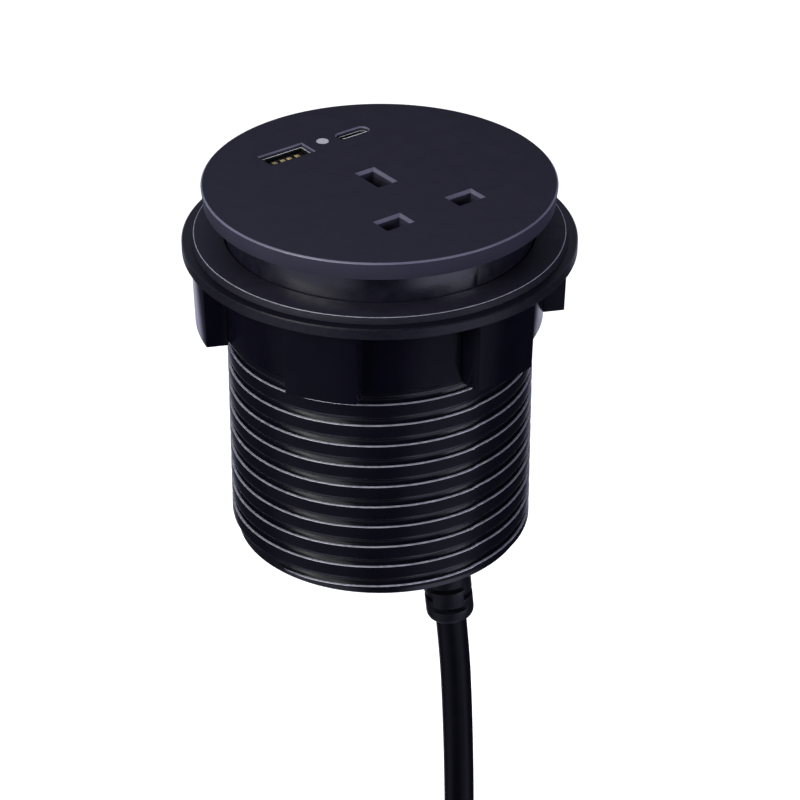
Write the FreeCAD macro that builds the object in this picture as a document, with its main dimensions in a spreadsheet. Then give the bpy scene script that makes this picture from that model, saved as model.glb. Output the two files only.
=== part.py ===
"""In-desk power module: a socket and USB ports in a threaded barrel that a lock nut clamps in a desk top.

Millimetres, +Z up. The origin is the centre of the rim's underside, which rests on the desk.
X runs along the line through the live and neutral pins, and +Y points to the USB ports.
"""
import FreeCAD, Part
import math
import os
import re
import Sketcher

V = FreeCAD.Vector
UP = V(0, 0, 1)
doc = FreeCAD.newDocument("PowerModule")
sheet = doc.addObject("Spreadsheet::Sheet", "Sizes")

# Driving dimensions in millimetres, degrees and counts
SIZES = {
    # Cover that shows above the desk
    "rim_radius": 45.0,
    "rim_height": 4.7,
    "rim_taper": 0.5,
    "rim_bevel": 0.4,
    "rim_wall": 2.0,
    "plate_thickness": 2.5,
    "spigot_wall": 1.2,
    "spigot_depth": 5.0,
    "pad_depth": 2.4,
    "pad_margin": 3.6,
    "boss_radius": 3.0,
    # Clearances
    "fit_gap": 0.15,
    "lamp_gap": 0.05,
    "clamp_gap": 0.05,
    "running_gap": 0.3,
    "washer_gap": 0.1,
    # Barrel with its outside thread
    "crest_radius": 39.5,
    "thread_depth": 1.5,
    "barrel_length": 95.3,
    "barrel_wall": 2.5,
    "ledge_width": 2.0,
    "ledge_height": 3.0,
    "foot_bevel": 1.5,
    "foot_wall": 1.2,
    "post_radius": 3.4,
    "post_length": 12.0,
    "post_circle": 32.6,
    # Clamp under the desk
    "neck_length": 8.8,
    "washer_thickness": 1.6,
    "washer_radius": 47.2,
    "washer_flare": 0.8,
    "nut_flange_radius": 50.3,
    "nut_flange_height": 3.0,
    "nut_sleeve_radius": 42.0,
    "nut_height": 22.8,
    "nut_bevel": 1.0,
    "lug_top_radius": 48.1,
    "lug_foot_radius": 47.5,
    "lug_half_width": 9.5,
    "lug_count": 6,
    "lug_turn": -24.8,
    # Pin apertures, and the pins that the socket takes
    "pin_spacing": 22.23,
    "earth_hole_width": 4.6,
    "earth_hole_length": 8.6,
    "earth_hole_y": 1.45,
    "line_hole_width": 6.9,
    "line_hole_length": 4.6,
    "hole_bevel": 0.7,
    "earth_pin_width": 8.0,
    "earth_pin_length": 22.7,
    "line_pin_width": 6.35,
    "line_pin_length": 17.7,
    "pin_thickness": 4.0,
    # Shutter and its spring
    "shutter_thickness": 1.6,
    "shutter_travel": 5.5,
    "shutter_lap": 0.9,
    "shutter_web": 3.2,
    "shutter_stem": 4.6,
    "spring_length": 9.0,
    "spring_radius": 1.0,
    "spring_wire": 0.35,
    "spring_turns": 5,
    "spring_wall": 2.0,
    # Contacts and their carrier
    "carrier_flange": 2.5,
    "carrier_height": 19.0,
    "carrier_margin": 3.4,
    "contact_sheet": 0.8,
    "contact_height": 11.0,
    "contact_flare": 0.7,
    "contact_drop": 1.0,
    "pin_grip": 0.4,
    "tail_width": 5.0,
    "crimp_radius": 2.0,
    "crimp_length": 5.0,
    "boss_x": 24.0,
    "boss_y": -10.0,
    "far_boss_x": 19.0,
    "far_boss_y": 16.5,
    "leg_x": 27.0,
    "leg_y": 2.0,
    "leg_radius": 3.0,
    "leg_length": 30.0,
    # Screws
    "screw_radius": 1.3,
    "screw_head_radius": 2.5,
    "screw_head_height": 1.6,
    "screw_bite": 4.0,
    # USB ports and the lamp
    "usb_a_x": -10.33,
    "usb_a_width": 13.3,
    "usb_a_depth": 5.7,
    "usb_y": 25.9,
    "usb_c_x": 10.5,
    "usb_c_width": 9.4,
    "usb_c_depth": 3.5,
    "port_bevel": 0.3,
    "port_sink": 1.0,
    "port_length": 13.6,
    "shell_wall": 0.3,
    "port_floor": 1.2,
    "tongue_sink": 0.8,
    "tongue_a_width": 11.1,
    "tongue_a_thickness": 1.9,
    "tongue_a_setback": 0.6,
    "tongue_c_width": 6.7,
    "tongue_c_thickness": 0.7,
    "gold_width": 1.0,
    "gold_thickness": 0.2,
    "gold_length": 7.5,
    "gold_spacing": 2.4,
    "lamp_x": 1.4,
    "lamp_y": 26.5,
    "lamp_radius": 1.65,
    "lamp_flange": 0.9,
    # Boards and what they carry
    "board_thickness": 1.6,
    "board_setback": 0.4,
    "usb_board_y": 13.5,
    "core_length": 20.0,
    "core_width": 12.0,
    "core_height": 15.0,
    "winding_height": 11.0,
    "winding_radius": 8.0,
    "capacitor_radius": 5.0,
    "capacitor_height": 20.0,
    "small_capacitor_radius": 3.2,
    "small_capacitor_height": 11.0,
    "small_capacitor_x": 10.0,
    "link_width": 10.0,
    "link_thickness": 2.5,
    # Cover at the barrel's foot, with the lead's way in
    "cover_thickness": 2.9,
    "cord_diameter": 8.2,
    "lead_diameter": 2.8,
    "relief_x": -0.8,
    "relief_y": -29.4,
    "relief_radius": 6.3,
    "relief_length": 18.5,
    "relief_round": 1.0,
    "relief_tilt": 5.4,
    "relief_lean": -36.95,
    "relief_slot": 1.45,
    "relief_slot_step": 3.05,
    "relief_first_slot": 4.2,
    "relief_slot_rows": 4,
    "relief_slot_web": 1.3,
    "relief_neck_radius": 5.0,
    "relief_head_radius": 5.4,
    "relief_head_height": 2.5,
    "entry_length": 12.0,
    "clamp_half_width": 12.0,
    "clamp_depth": 8.0,
    "clamp_height": 8.0,
    "clamp_screw_x": 9.0,
    "clamp_screw_y": -25.0,
    # Where the lead lies, wound up on the surface below
    "floor_drop": 240.0,
    "coil_x": -62.0,
    "coil_y": -85.0,
    "coil_inner_radius": 33.0,
    "coil_turn_step": 10.4,
    "coil_rise": 9.6,
    "coil_turns_in": 2,
    "coil_half_turns_out": 4,
    "tail_length": 25.0,
    "tie_width": 12.0,
    "tie_thickness": 0.8,
    "tie_slack": 0.6,
    # Plug at the lead's end
    "plug_width": 50.0,
    "plug_length": 48.0,
    "plug_height": 25.0,
    "plug_corner": 11.0,
    "plug_taper": 17.6,
    "plug_draft": 2.0,
    "plug_line_setback": 15.5,
    "plug_relief_length": 26.0,
    "plug_relief_radius": 7.0,
    "plug_relief_tip": 5.2,
    "sleeve_length": 9.5,
    "sleeve_wall": 0.5,
    "fuse_length": 25.4,
    "fuse_radius": 3.15,
    "fuse_cap_length": 6.0,
    "fuse_cap_wall": 0.3,
    "fuse_tray_width": 9.0,
    "fuse_tray_plate": 1.8,
    "fuse_tray_arm": 1.6,
    "fuse_tray_depth": 8.6,
}
for row, (alias, number) in enumerate(SIZES.items(), 1):
    sheet.set("A%d" % row, alias)
    sheet.set("B%d" % row, str(number))
    sheet.setAlias("B%d" % row, alias)
doc.recompute()

# Sides of the many-sided sections that stand for round ones
SCREW_SIDES = 8
CORD_SIDES = 8
COIL_SIDES = 6
LEAD_SIDES = 6
SPRING_SIDES = 4
RELIEF_SIDES = 16

# Heights and radii that several pieces share, as sums of the sheet's values
PLATE_FOOT = "(rim_height - plate_thickness)"
PAD_FOOT = "(rim_height - plate_thickness - pad_depth)"
SHUTTER_TOP = "(%s - running_gap)" % PAD_FOOT
CARRIER_TOP = "(%s - shutter_thickness - running_gap)" % SHUTTER_TOP
ROOT_RADIUS = "(crest_radius - thread_depth)"
BORE_RADIUS = "(crest_radius - thread_depth - barrel_wall)"
LEDGE_RADIUS = "(crest_radius - thread_depth - barrel_wall - ledge_width)"
SPIGOT_RADIUS = "(%s - fit_gap)" % LEDGE_RADIUS
NUT_TOP = "(0 - neck_length - washer_thickness - washer_gap)"
NUT_BORE = "(crest_radius + running_gap)"
LINE_Y = "(earth_hole_y - pin_spacing)"
PORT_TOP = "(rim_height - port_sink)"
USB_BOARD_TOP = "(rim_height - port_sink - port_length)"
FLANGE_FOOT = "(0 - ledge_height - carrier_flange)"
CARRIER_FOOT = "(%s - carrier_height)" % CARRIER_TOP
SUPPLY_TOP = "(%s - leg_length)" % FLANGE_FOOT
SUPPLY_FOOT = "(%s - board_thickness)" % SUPPLY_TOP
COVER_TOP = "(cover_thickness - barrel_length)"
CONTACT_TOP = "(%s - contact_drop)" % CARRIER_TOP
TAIL_FOOT = "(%s - crimp_length / 4)" % CARRIER_FOOT
CRIMP_FOOT = "(%s - crimp_length)" % TAIL_FOOT
HEAD_TOP = "(%s + relief_head_height)" % COVER_TOP
FLOOR = "(0 - floor_drop)"
LAY_HEIGHT = "(tie_thickness + fit_gap + cord_diameter / 2 - floor_drop)"
PLUG_TOP = "(plug_height - floor_drop)"
SPRING_START = "(earth_hole_y + earth_hole_length / 2 - shutter_travel + shutter_web)"
SPRING_END = "(%s + spring_length)" % SPRING_START
FUSE_ROOM = "(fuse_length + 2 * fuse_tray_arm + 4 * fit_gap)"

# Places of the pins, and angles of the posts that the base cover is screwed to
PINS = {"earth": ("0", "earth_hole_y"), "live": ("pin_spacing / 2", LINE_Y),
        "neutral": ("0 - pin_spacing / 2", LINE_Y)}
POST_ANGLES = (90, 210, 330)

# Routes of the cores, chosen by hand: up from the sheath's end, then up to the crimp
CORE_ROUTES = {"live": ([(1.7, -0.8, 0), (1.7, -0.8, 12), (5.5, 2.6, 27)], [(0, 0, -11), (0, 0, 0)]),
               "neutral": ([(-1.7, -0.8, 0), (-1.7, -0.8, 12), (-5.0, 2.6, 27)], [(0, 0, -11), (0, 0, 0)]),
               "earth": ([(0, 2.1, 0), (0, 2.1, 10), (0.4, 12, 21)],
                         [(-0.2, -7, -16), (0, 0, -8), (0, 0, 0)])}

# Route of the mains lead between the strain relief and the coil, chosen by hand
CORD_POINTS = [(1.9, -31.45, -138.0), (2.6, -31.8, -162.0), (3.4, -31.6, -196.6), (-3.9, -31.6, -214.2),
               (-17.3, -31.4, -227.6), (-34.9, -31.2, -234.95)]
CORD_LEAD = 9.0


def bound(text):
    """Writes a sum of the sheet's values as an expression."""
    return re.sub(r"[a-z_]+", lambda word: ("Sizes." if word.group() in SIZES else "") + word.group(), text)


def value(text):
    """Works out a sum of the sheet's values."""
    names = {alias: float(sheet.get(alias)) for alias in SIZES}
    total = sheet.evalExpression(re.sub(r"[a-z_]+", lambda word: repr(names[word.group()]), text))
    return float(total)


def bind(thing, **sums):
    """Binds an object's properties to sums of the sheet's values."""
    for name, text in sums.items():
        thing.setExpression(name, bound(str(text)))
    return thing


def place(thing, x="0", y="0", z="0"):
    """Binds an object's place."""
    for axis, text in (("x", x), ("y", y), ("z", z)):
        thing.setExpression("Placement.Base." + axis, bound(str(text)))
    return thing


def turn(thing, degrees, axis=UP):
    """Turns an object about its own origin, before its place is bound."""
    thing.Placement = FreeCAD.Placement(V(0, 0, 0), FreeCAD.Rotation(axis, degrees))
    return thing


def cylinder(name, radius, height, x="0", y="0", z="0"):
    """Makes an upright cylinder on a foot at the given place."""
    return place(bind(doc.addObject("Part::Cylinder", name), Radius=radius, Height=height), x, y, z)


def peg(name, radius, height, x="0", y="0", z="0"):
    """Makes an upright eight-sided peg, which a screw's round parts stand in for with few faces."""
    return place(bind(doc.addObject("Part::Prism", name), Circumradius=radius, Height=height), x, y, z)


def cone(name, foot, top, height, x="0", y="0", z="0"):
    """Makes an upright cone on a foot at the given place."""
    thing = bind(doc.addObject("Part::Cone", name), Radius1=foot, Radius2=top, Height=height)
    return place(thing, x, y, z)


def box(name, across, along, height, x="0", y="0", z="0"):
    """Makes a box centred on x and y, on a foot at z."""
    thing = bind(doc.addObject("Part::Box", name), Length=across, Width=along, Height=height)
    return place(thing, "(%s) - (%s) / 2" % (x, across), "(%s) - (%s) / 2" % (y, along), z)


def stadium(name, across, along, height, x, y, z):
    """Makes an upright slab with round ends, longer in X."""
    reach = "((%s) - (%s)) / 2" % (across, along)
    middle = box(name + "_middle", "2 * (%s)" % reach, along, height, x, y, z)
    left = cylinder(name + "_left", "(%s) / 2" % along, height, "%s - %s" % (x, reach), y, z)
    right = cylinder(name + "_right", "(%s) / 2" % along, height, "%s + %s" % (x, reach), y, z)
    return fuse(name, middle, left, right)


def fuse(name, *things):
    """Joins solids into one."""
    joined = doc.addObject("Part::MultiFuse", name)
    joined.Shapes = list(things)
    joined.Refine = True
    return joined


def group(name, *things):
    """Keeps separate solids together in one node."""
    together = doc.addObject("Part::Compound", name)
    together.Links = list(things)
    return together


def cut(name, base, *tools):
    """Cuts tools out of a solid."""
    result = doc.addObject("Part::Cut", name)
    result.Base = base
    result.Tool = tools[0] if len(tools) == 1 else fuse(name + "_tools", *tools)
    result.Refine = True
    return result


def common(name, first, second):
    """Keeps what two solids share."""
    result = doc.addObject("Part::Common", name)
    result.Base = first
    result.Tool = second
    result.Refine = True
    return result


def design(name):
    """Starts a body made of sketches and features."""
    return doc.addObject("PartDesign::Body", name)


def sketch(body, name, role, height="0"):
    """Starts a sketch on one of the body's own planes, moved along its normal."""
    drawing = body.newObject("Sketcher::SketchObject", name)
    plane = next(feature for feature in body.Origin.OriginFeatures if feature.Role == role)
    drawing.AttachmentSupport = [(plane, "")]
    drawing.MapMode = "FlatFace"
    drawing.setExpression("AttachmentOffset.Base.z", bound(height))
    return drawing


def draw_loop(drawing, corners):
    """Draws a closed loop of straight lines with each corner bound to the sheet."""
    first = drawing.GeometryCount
    points = [V(value(x), value(y), 0) for x, y in corners]
    count = len(points)
    for index in range(count):
        drawing.addGeometry(Part.LineSegment(points[index], points[(index + 1) % count]), False)
    for index, (x, y) in enumerate(corners):
        line = first + index
        after = first + (index + 1) % count
        drawing.addConstraint(Sketcher.Constraint("Coincident", line, 2, after, 1))
        for kind, text, axis in (("DistanceX", x, -2), ("DistanceY", y, -1)):
            if text == "0":
                drawing.addConstraint(Sketcher.Constraint("PointOnObject", line, 1, axis))
            else:
                number = drawing.addConstraint(Sketcher.Constraint(kind, -1, 1, line, 1, value(text)))
                drawing.setExpression("Constraints[%d]" % number, bound(text))
    return drawing


def draw_circle(drawing, x, y, radius):
    """Draws a circle whose centre and radius are bound to the sheet."""
    line = drawing.addGeometry(Part.Circle(V(value(x), value(y), 0), UP, value(radius)), False)
    for kind, text in (("DistanceX", x), ("DistanceY", y)):
        number = drawing.addConstraint(Sketcher.Constraint(kind, -1, 1, line, 3, value(text)))
        drawing.setExpression("Constraints[%d]" % number, bound(text))
    number = drawing.addConstraint(Sketcher.Constraint("Radius", line, value(radius)))
    drawing.setExpression("Constraints[%d]" % number, bound(radius))
    return drawing


def rectangle(x, y, across, along):
    """Gives the corners of a rectangle centred on a point."""
    left, right = "(%s) - (%s) / 2" % (x, across), "(%s) + (%s) / 2" % (x, across)
    near, far = "(%s) - (%s) / 2" % (y, along), "(%s) + (%s) / 2" % (y, along)
    return [(left, near), (right, near), (right, far), (left, far)]


def revolve(body, name, corners):
    """Turns an outline of radius and height about Z."""
    drawing = draw_loop(sketch(body, name + "_outline", "XZ_Plane"), corners)
    feature = body.newObject("PartDesign::Revolution", name)
    feature.Profile = drawing
    feature.ReferenceAxis = (drawing, ["V_Axis"])
    feature.Angle = 360
    return feature


def pad(body, name, drawing, length, down=False, middle=False):
    """Raises a sketch into the body."""
    feature = body.newObject("PartDesign::Pad", name)
    feature.Profile = drawing
    feature.Reversed = down
    if middle:
        feature.SideType = "Symmetric"
    return bind(feature, Length=length)


def pocket(body, name, drawing, length, up=False):
    """Sinks a sketch into the body, and checks that it cut something."""
    doc.recompute()
    before = body.Shape.Volume
    feature = body.newObject("PartDesign::Pocket", name)
    feature.Profile = drawing
    feature.Reversed = up
    bind(feature, Length=length)
    doc.recompute()
    if body.Shape.Volume > before - 1e-3:
        raise ValueError("%s cuts nothing" % name)
    return feature


def dress(body, kind, name, radius, wanted):
    """Chamfers or fillets the edges of the last feature that the test picks."""
    doc.recompute()
    base = body.Tip
    names = ["Edge%d" % (number + 1) for number, edge in enumerate(base.Shape.Edges) if wanted(edge)]
    feature = body.newObject("PartDesign::" + kind, name)
    feature.Base = (base, names)
    bind(feature, **{"Size" if kind == "Chamfer" else "Radius": radius})
    return feature


def polar(radius, angle):
    """Gives the sums of a point on a circle about Z."""
    across = round(math.cos(math.radians(angle)), 9)
    along = round(math.sin(math.radians(angle)), 9)
    return "%s * %.9f" % (radius, across), "%s * %.9f" % (radius, along)


def solid_of(name, shape):
    """Keeps a shape that is worked out in code from the sheet's values."""
    feature = doc.addObject("Part::Feature", name)
    feature.Shape = shape
    return feature


# Cover above the desk, with its apertures and screw bosses
BOSSES = [("boss_x", "boss_y"), ("0 - boss_x", "boss_y"), ("far_boss_x", "far_boss_y"),
          ("0 - far_boss_x", "far_boss_y")]
PIN_HOLES = [("0", "earth_hole_y", "earth_hole_width", "earth_hole_length"),
             ("pin_spacing / 2", LINE_Y, "line_hole_width", "line_hole_length"),
             ("0 - pin_spacing / 2", LINE_Y, "line_hole_width", "line_hole_length")]


def faceplate():
    body = design("faceplate")
    revolve(body, "cover", [
        ("0", "rim_height"),
        ("rim_radius - rim_bevel", "rim_height"),
        ("rim_radius", "rim_height - rim_bevel"),
        ("rim_radius - rim_taper", "0"),
        ("rim_radius - rim_taper - rim_wall", "0"),
        ("rim_radius - rim_taper - rim_wall", PLATE_FOOT),
        (SPIGOT_RADIUS, PLATE_FOOT),
        (SPIGOT_RADIUS, "%s - spigot_depth" % PLATE_FOOT),
        ("%s - spigot_wall" % SPIGOT_RADIUS, "%s - spigot_depth" % PLATE_FOOT),
        ("%s - spigot_wall" % SPIGOT_RADIUS, PLATE_FOOT),
        ("0", PLATE_FOOT)])
    half = "(pin_spacing / 2 + line_hole_width / 2 + pad_margin)"
    near = "(%s - line_hole_length / 2 - pad_margin)" % LINE_Y
    far = "(earth_hole_y + earth_hole_length / 2 + pad_margin)"
    guide = draw_loop(sketch(body, "pin_guide_outline", "XY_Plane", PLATE_FOOT), [
        ("pad_margin - %s" % half, near), ("%s - pad_margin" % half, near),
        (half, "%s + pad_margin" % near), (half, "%s - pad_margin" % far),
        ("%s - pad_margin" % half, far), ("pad_margin - %s" % half, far),
        ("0 - %s" % half, "%s - pad_margin" % far), ("0 - %s" % half, "%s + pad_margin" % near)])
    pad(body, "pin_guide", guide, "pad_depth", down=True)
    bosses = sketch(body, "boss_outline", "XY_Plane", PLATE_FOOT)
    holes = sketch(body, "boss_hole_outline", "XY_Plane", CARRIER_TOP)
    for x, y in BOSSES:
        draw_circle(bosses, x, y, "boss_radius")
        draw_circle(holes, x, y, "screw_radius + fit_gap")
    pad(body, "bosses", bosses, "%s - %s" % (PLATE_FOOT, CARRIER_TOP), down=True)
    pocket(body, "boss_holes", holes, "screw_bite + fit_gap", up=True)
    openings = sketch(body, "aperture_outline", "XY_Plane", "rim_height")
    for x, y, across, along in PIN_HOLES:
        draw_loop(openings, rectangle(x, y, across, along))
    draw_loop(openings, rectangle("usb_a_x", "usb_y", "usb_a_width", "usb_a_depth"))
    draw_circle(openings, "lamp_x", "lamp_y", "lamp_radius")
    pocket(body, "apertures", openings, "plate_thickness + pad_depth + spigot_depth")
    small = draw_loop(sketch(body, "usb_c_outline", "XY_Plane", "rim_height"),
                      rectangle("usb_c_x", "usb_y", "usb_c_width", "usb_c_depth"))
    pocket(body, "usb_c_mouth", small, "plate_thickness + pad_depth + spigot_depth")
    dress(body, "Fillet", "usb_c_ends", "usb_c_depth / 2 - fit_gap / 2", usb_c_corner)
    dress(body, "Chamfer", "pin_bevels", "hole_bevel", pin_hole_edge)
    dress(body, "Chamfer", "port_bevels", "port_bevel", port_edge)
    return body


def on_top(edge):
    """Says whether an edge lies in the cover's upper face."""
    return all(abs(corner.Z - value("rim_height")) < 1e-4 for corner in edge.Vertexes)


def near_hole(edge, x, y, across, along):
    """Says whether an edge lies on a hole's outline."""
    bounds = edge.BoundBox
    across_fits = max(bounds.XMax - value(x), value(x) - bounds.XMin) < value(across) / 2 + 0.1
    along_fits = max(bounds.YMax - value(y), value(y) - bounds.YMin) < value(along) / 2 + 0.1
    return across_fits and along_fits


def pin_hole_edge(edge):
    return on_top(edge) and any(near_hole(edge, *hole) for hole in PIN_HOLES)


def port_edge(edge):
    ports = [("usb_a_x", "usb_y", "usb_a_width", "usb_a_depth"),
             ("usb_c_x", "usb_y", "usb_c_width", "usb_c_depth")]
    return on_top(edge) and any(near_hole(edge, *port) for port in ports)


def usb_c_corner(edge):
    box_of = edge.BoundBox
    upright = box_of.ZLength > 1 and box_of.XLength < 1e-4 and box_of.YLength < 1e-4
    return upright and near_hole(edge, "usb_c_x", "usb_y", "usb_c_width", "usb_c_depth")


def threaded_barrel():
    body = design("threaded_barrel")
    flange = "(rim_radius - rim_taper - rim_wall - fit_gap)"
    revolve(body, "tube", [
        (LEDGE_RADIUS, "0 - ledge_height"),
        (LEDGE_RADIUS, "%s - fit_gap" % PLATE_FOOT),
        (flange, "%s - fit_gap" % PLATE_FOOT),
        (flange, "0"),
        ("crest_radius", "0"),
        ("crest_radius", "foot_bevel - barrel_length"),
        (ROOT_RADIUS, "0 - barrel_length"),
        ("%s - foot_wall" % ROOT_RADIUS, "0 - barrel_length"),
        ("%s - foot_wall" % ROOT_RADIUS, COVER_TOP),
        (BORE_RADIUS, COVER_TOP),
        (BORE_RADIUS, "0 - ledge_height")])
    posts = sketch(body, "post_outline", "XY_Plane", COVER_TOP)
    holes = sketch(body, "post_hole_outline", "XY_Plane", COVER_TOP)
    for angle in POST_ANGLES:
        x, y = polar("post_circle", angle)
        draw_circle(posts, x, y, "post_radius")
        draw_circle(holes, x, y, "screw_radius + fit_gap")
    pad(body, "posts", posts, "post_length")
    pocket(body, "post_holes", holes, "screw_bite + fit_gap", up=True)
    return body


def base_cover():
    radius = "%s - foot_wall - fit_gap" % ROOT_RADIUS
    plate = cylinder("cover_plate", radius, "cover_thickness", z="0 - barrel_length")
    holes = [cylinder("relief_hole", "relief_neck_radius + fit_gap", "cover_thickness",
                      "relief_x", "relief_y", "0 - barrel_length")]
    for number, angle in enumerate(POST_ANGLES):
        x, y = polar("post_circle", angle)
        holes.append(cylinder("cover_hole_%d" % number, "screw_radius + fit_gap", "cover_thickness",
                              x, y, "0 - barrel_length"))
        holes.append(cylinder("cover_sink_%d" % number, "screw_head_radius + fit_gap", "screw_head_height",
                              x, y, "0 - barrel_length"))
    for side in (1, -1):
        holes.append(cylinder("clamp_hole_%d" % side, "screw_radius + fit_gap", "cover_thickness",
                              "%d * clamp_screw_x" % side, "clamp_screw_y", "0 - barrel_length"))
    return cut("base_cover", plate, *holes)


def screw(name, x, y, foot, grip, up=True):
    """Makes a pan screw from the underside of what it clamps, its head outside."""
    head_foot, shank_foot, reach = foot, "%s - (%s)" % (foot, grip), grip
    if up:
        head_foot, shank_foot, reach = "%s - screw_head_height" % foot, foot, "%s + screw_bite" % grip
    head = peg(name + "_head", "screw_head_radius", "screw_head_height", x, y, head_foot)
    shank = peg(name + "_shank", "screw_radius", reach, x, y, shank_foot)
    for part_of in (head, shank):
        part_of.Polygon = SCREW_SIDES
    return fuse(name, head, shank)


def screws():
    carrier_grip = "(%s - %s)" % (CARRIER_TOP, FLANGE_FOOT)
    group("carrier_screws", *[screw("carrier_screw_%d" % number, x, y, FLANGE_FOOT, carrier_grip)
                              for number, (x, y) in enumerate(BOSSES)])
    seat = "(screw_head_height - barrel_length)"
    group("base_screws", *[screw("base_screw_%d" % angle, *polar("post_circle", angle), seat,
                                 "(cover_thickness - screw_head_height)") for angle in POST_ANGLES])
    group("clamp_screws", *[screw("clamp_screw_%d" % side, "%d * clamp_screw_x" % side, "clamp_screw_y",
                                  "(%s + clamp_height)" % COVER_TOP,
                                  "(clamp_height + cover_thickness)", up=False)
                            for side in (1, -1)])
    group("board_screws", *[screw("board_screw_%d" % side, "%d * leg_x" % side, "leg_y", SUPPLY_FOOT,
                                  "board_thickness") for side in (1, -1)])


def clamp_washer():
    body = design("clamp_washer")
    revolve(body, "ring", [
        (NUT_BORE, "0 - neck_length"),
        ("washer_radius", "0 - neck_length"),
        ("washer_radius + washer_flare", "0 - neck_length - washer_thickness"),
        (NUT_BORE, "0 - neck_length - washer_thickness")])
    return body


def lock_nut():
    flange_foot = "(%s - nut_flange_height)" % NUT_TOP
    nut_foot = "(%s - nut_height)" % NUT_TOP
    grip_height = "(nut_height - nut_flange_height)"
    flange = cylinder("nut_flange", "nut_flange_radius", "nut_flange_height", z=flange_foot)
    sleeve = cylinder("nut_sleeve", "nut_sleeve_radius", "%s - nut_bevel" % grip_height,
                      z="%s + nut_bevel" % nut_foot)
    skirt = cone("nut_skirt", "nut_sleeve_radius - nut_bevel", "nut_sleeve_radius", "nut_bevel", z=nut_foot)
    limit = cone("lug_limit", "lug_foot_radius", "lug_top_radius", grip_height, z=nut_foot)
    lugs = []
    for number in range(round(value("lug_count"))):
        reach = "(lug_top_radius + nut_bevel - nut_sleeve_radius + thread_depth)"
        lug = bind(doc.addObject("Part::Box", "lug_%d" % number), Length=reach, Width="2 * lug_half_width",
                   Height=grip_height)
        angle = value("lug_turn") + 360 * number / value("lug_count")
        turn(lug, angle)
        along = V(math.cos(math.radians(angle)), math.sin(math.radians(angle)), 0)
        side = V(-along.y, along.x, 0)
        start = "(nut_sleeve_radius - thread_depth)"
        place(lug, "%s * %.9f - lug_half_width * %.9f" % (start, along.x, side.x),
              "%s * %.9f - lug_half_width * %.9f" % (start, along.y, side.y), nut_foot)
        lugs.append(lug)
    grips = common("nut_grips", fuse("lugs", *lugs), limit)
    bore = cylinder("nut_bore", NUT_BORE, "nut_height", z=nut_foot)
    return cut("lock_nut", fuse("nut_solid", flange, sleeve, skirt, grips), bore)


def socket_shutter():
    half = "(pin_spacing / 2 + line_hole_width / 2 + shutter_lap)"
    near = "(%s - line_hole_length / 2 - shutter_lap)" % LINE_Y
    bar = "(line_hole_length + 2 * shutter_lap)"
    foot = "(%s - shutter_thickness)" % SHUTTER_TOP
    window_near = "(earth_hole_y - earth_hole_length / 2 - shutter_travel)"
    window_far = "(earth_hole_y + earth_hole_length / 2 - shutter_travel)"
    wide = "(earth_hole_width + 2 * shutter_web)"
    body = design("socket_shutter")
    plate = draw_loop(sketch(body, "shutter_outline", "XY_Plane", foot), [
        ("0 - %s" % half, near), (half, near), (half, "%s + %s" % (near, bar)),
        ("%s / 2" % wide, "%s + %s" % (near, bar)), ("%s / 2" % wide, "%s + shutter_web" % window_far),
        ("0 - %s / 2" % wide, "%s + shutter_web" % window_far),
        ("0 - %s / 2" % wide, "%s + %s" % (near, bar)),
        ("0 - %s" % half, "%s + %s" % (near, bar))])
    draw_loop(plate, [("0 - earth_hole_width / 2", window_near), ("earth_hole_width / 2", window_near),
                      ("earth_hole_width / 2", window_far), ("0 - earth_hole_width / 2", window_far)])
    pad(body, "shutter_plate", plate, "shutter_thickness")
    dress(body, "Chamfer", "shutter_ramp", "shutter_thickness - fit_gap", shutter_ramp_edge)
    return body


def shutter_ramp_edge(edge):
    """Picks the window's far upper edge, where the earth pin's tip pushes the shutter aside."""
    middle = edge.BoundBox.Center
    far = value("earth_hole_y + earth_hole_length / 2 - shutter_travel")
    return abs(middle.y - far) < 0.01 and abs(middle.z - value(SHUTTER_TOP)) < 0.01 and abs(middle.x) < 0.01


def shutter_spring():
    """Winds the spring along Y from half turns, each tilted by half its pitch."""
    end, radius = value(SPRING_START), value("spring_radius - spring_wire / 2")
    wire_radius = value("spring_wire") / 2
    height = value("%s - shutter_thickness / 2" % SHUTTER_TOP)
    turns = round(value("spring_turns"))
    free = value("spring_length") - 2 * wire_radius
    step = free / (2 * turns)
    edges = []
    for number in range(2 * turns):
        side = 1 if number % 2 == 0 else -1
        start = V(side * radius, end + wire_radius + number * step, height)
        stop = V(-side * radius, end + wire_radius + (number + 1) * step, height)
        middle = (start + stop) / 2
        bulge = V(0, 0, side) * ((stop - start).Length / 2)
        edges.append(Part.Arc(start, middle + bulge, stop).toShape())
    path = Part.Wire(edges)
    ring = section(path, 2 * wire_radius, SPRING_SIDES)
    return solid_of("shutter_spring", path.makePipeShell([ring], True, False))


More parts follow.
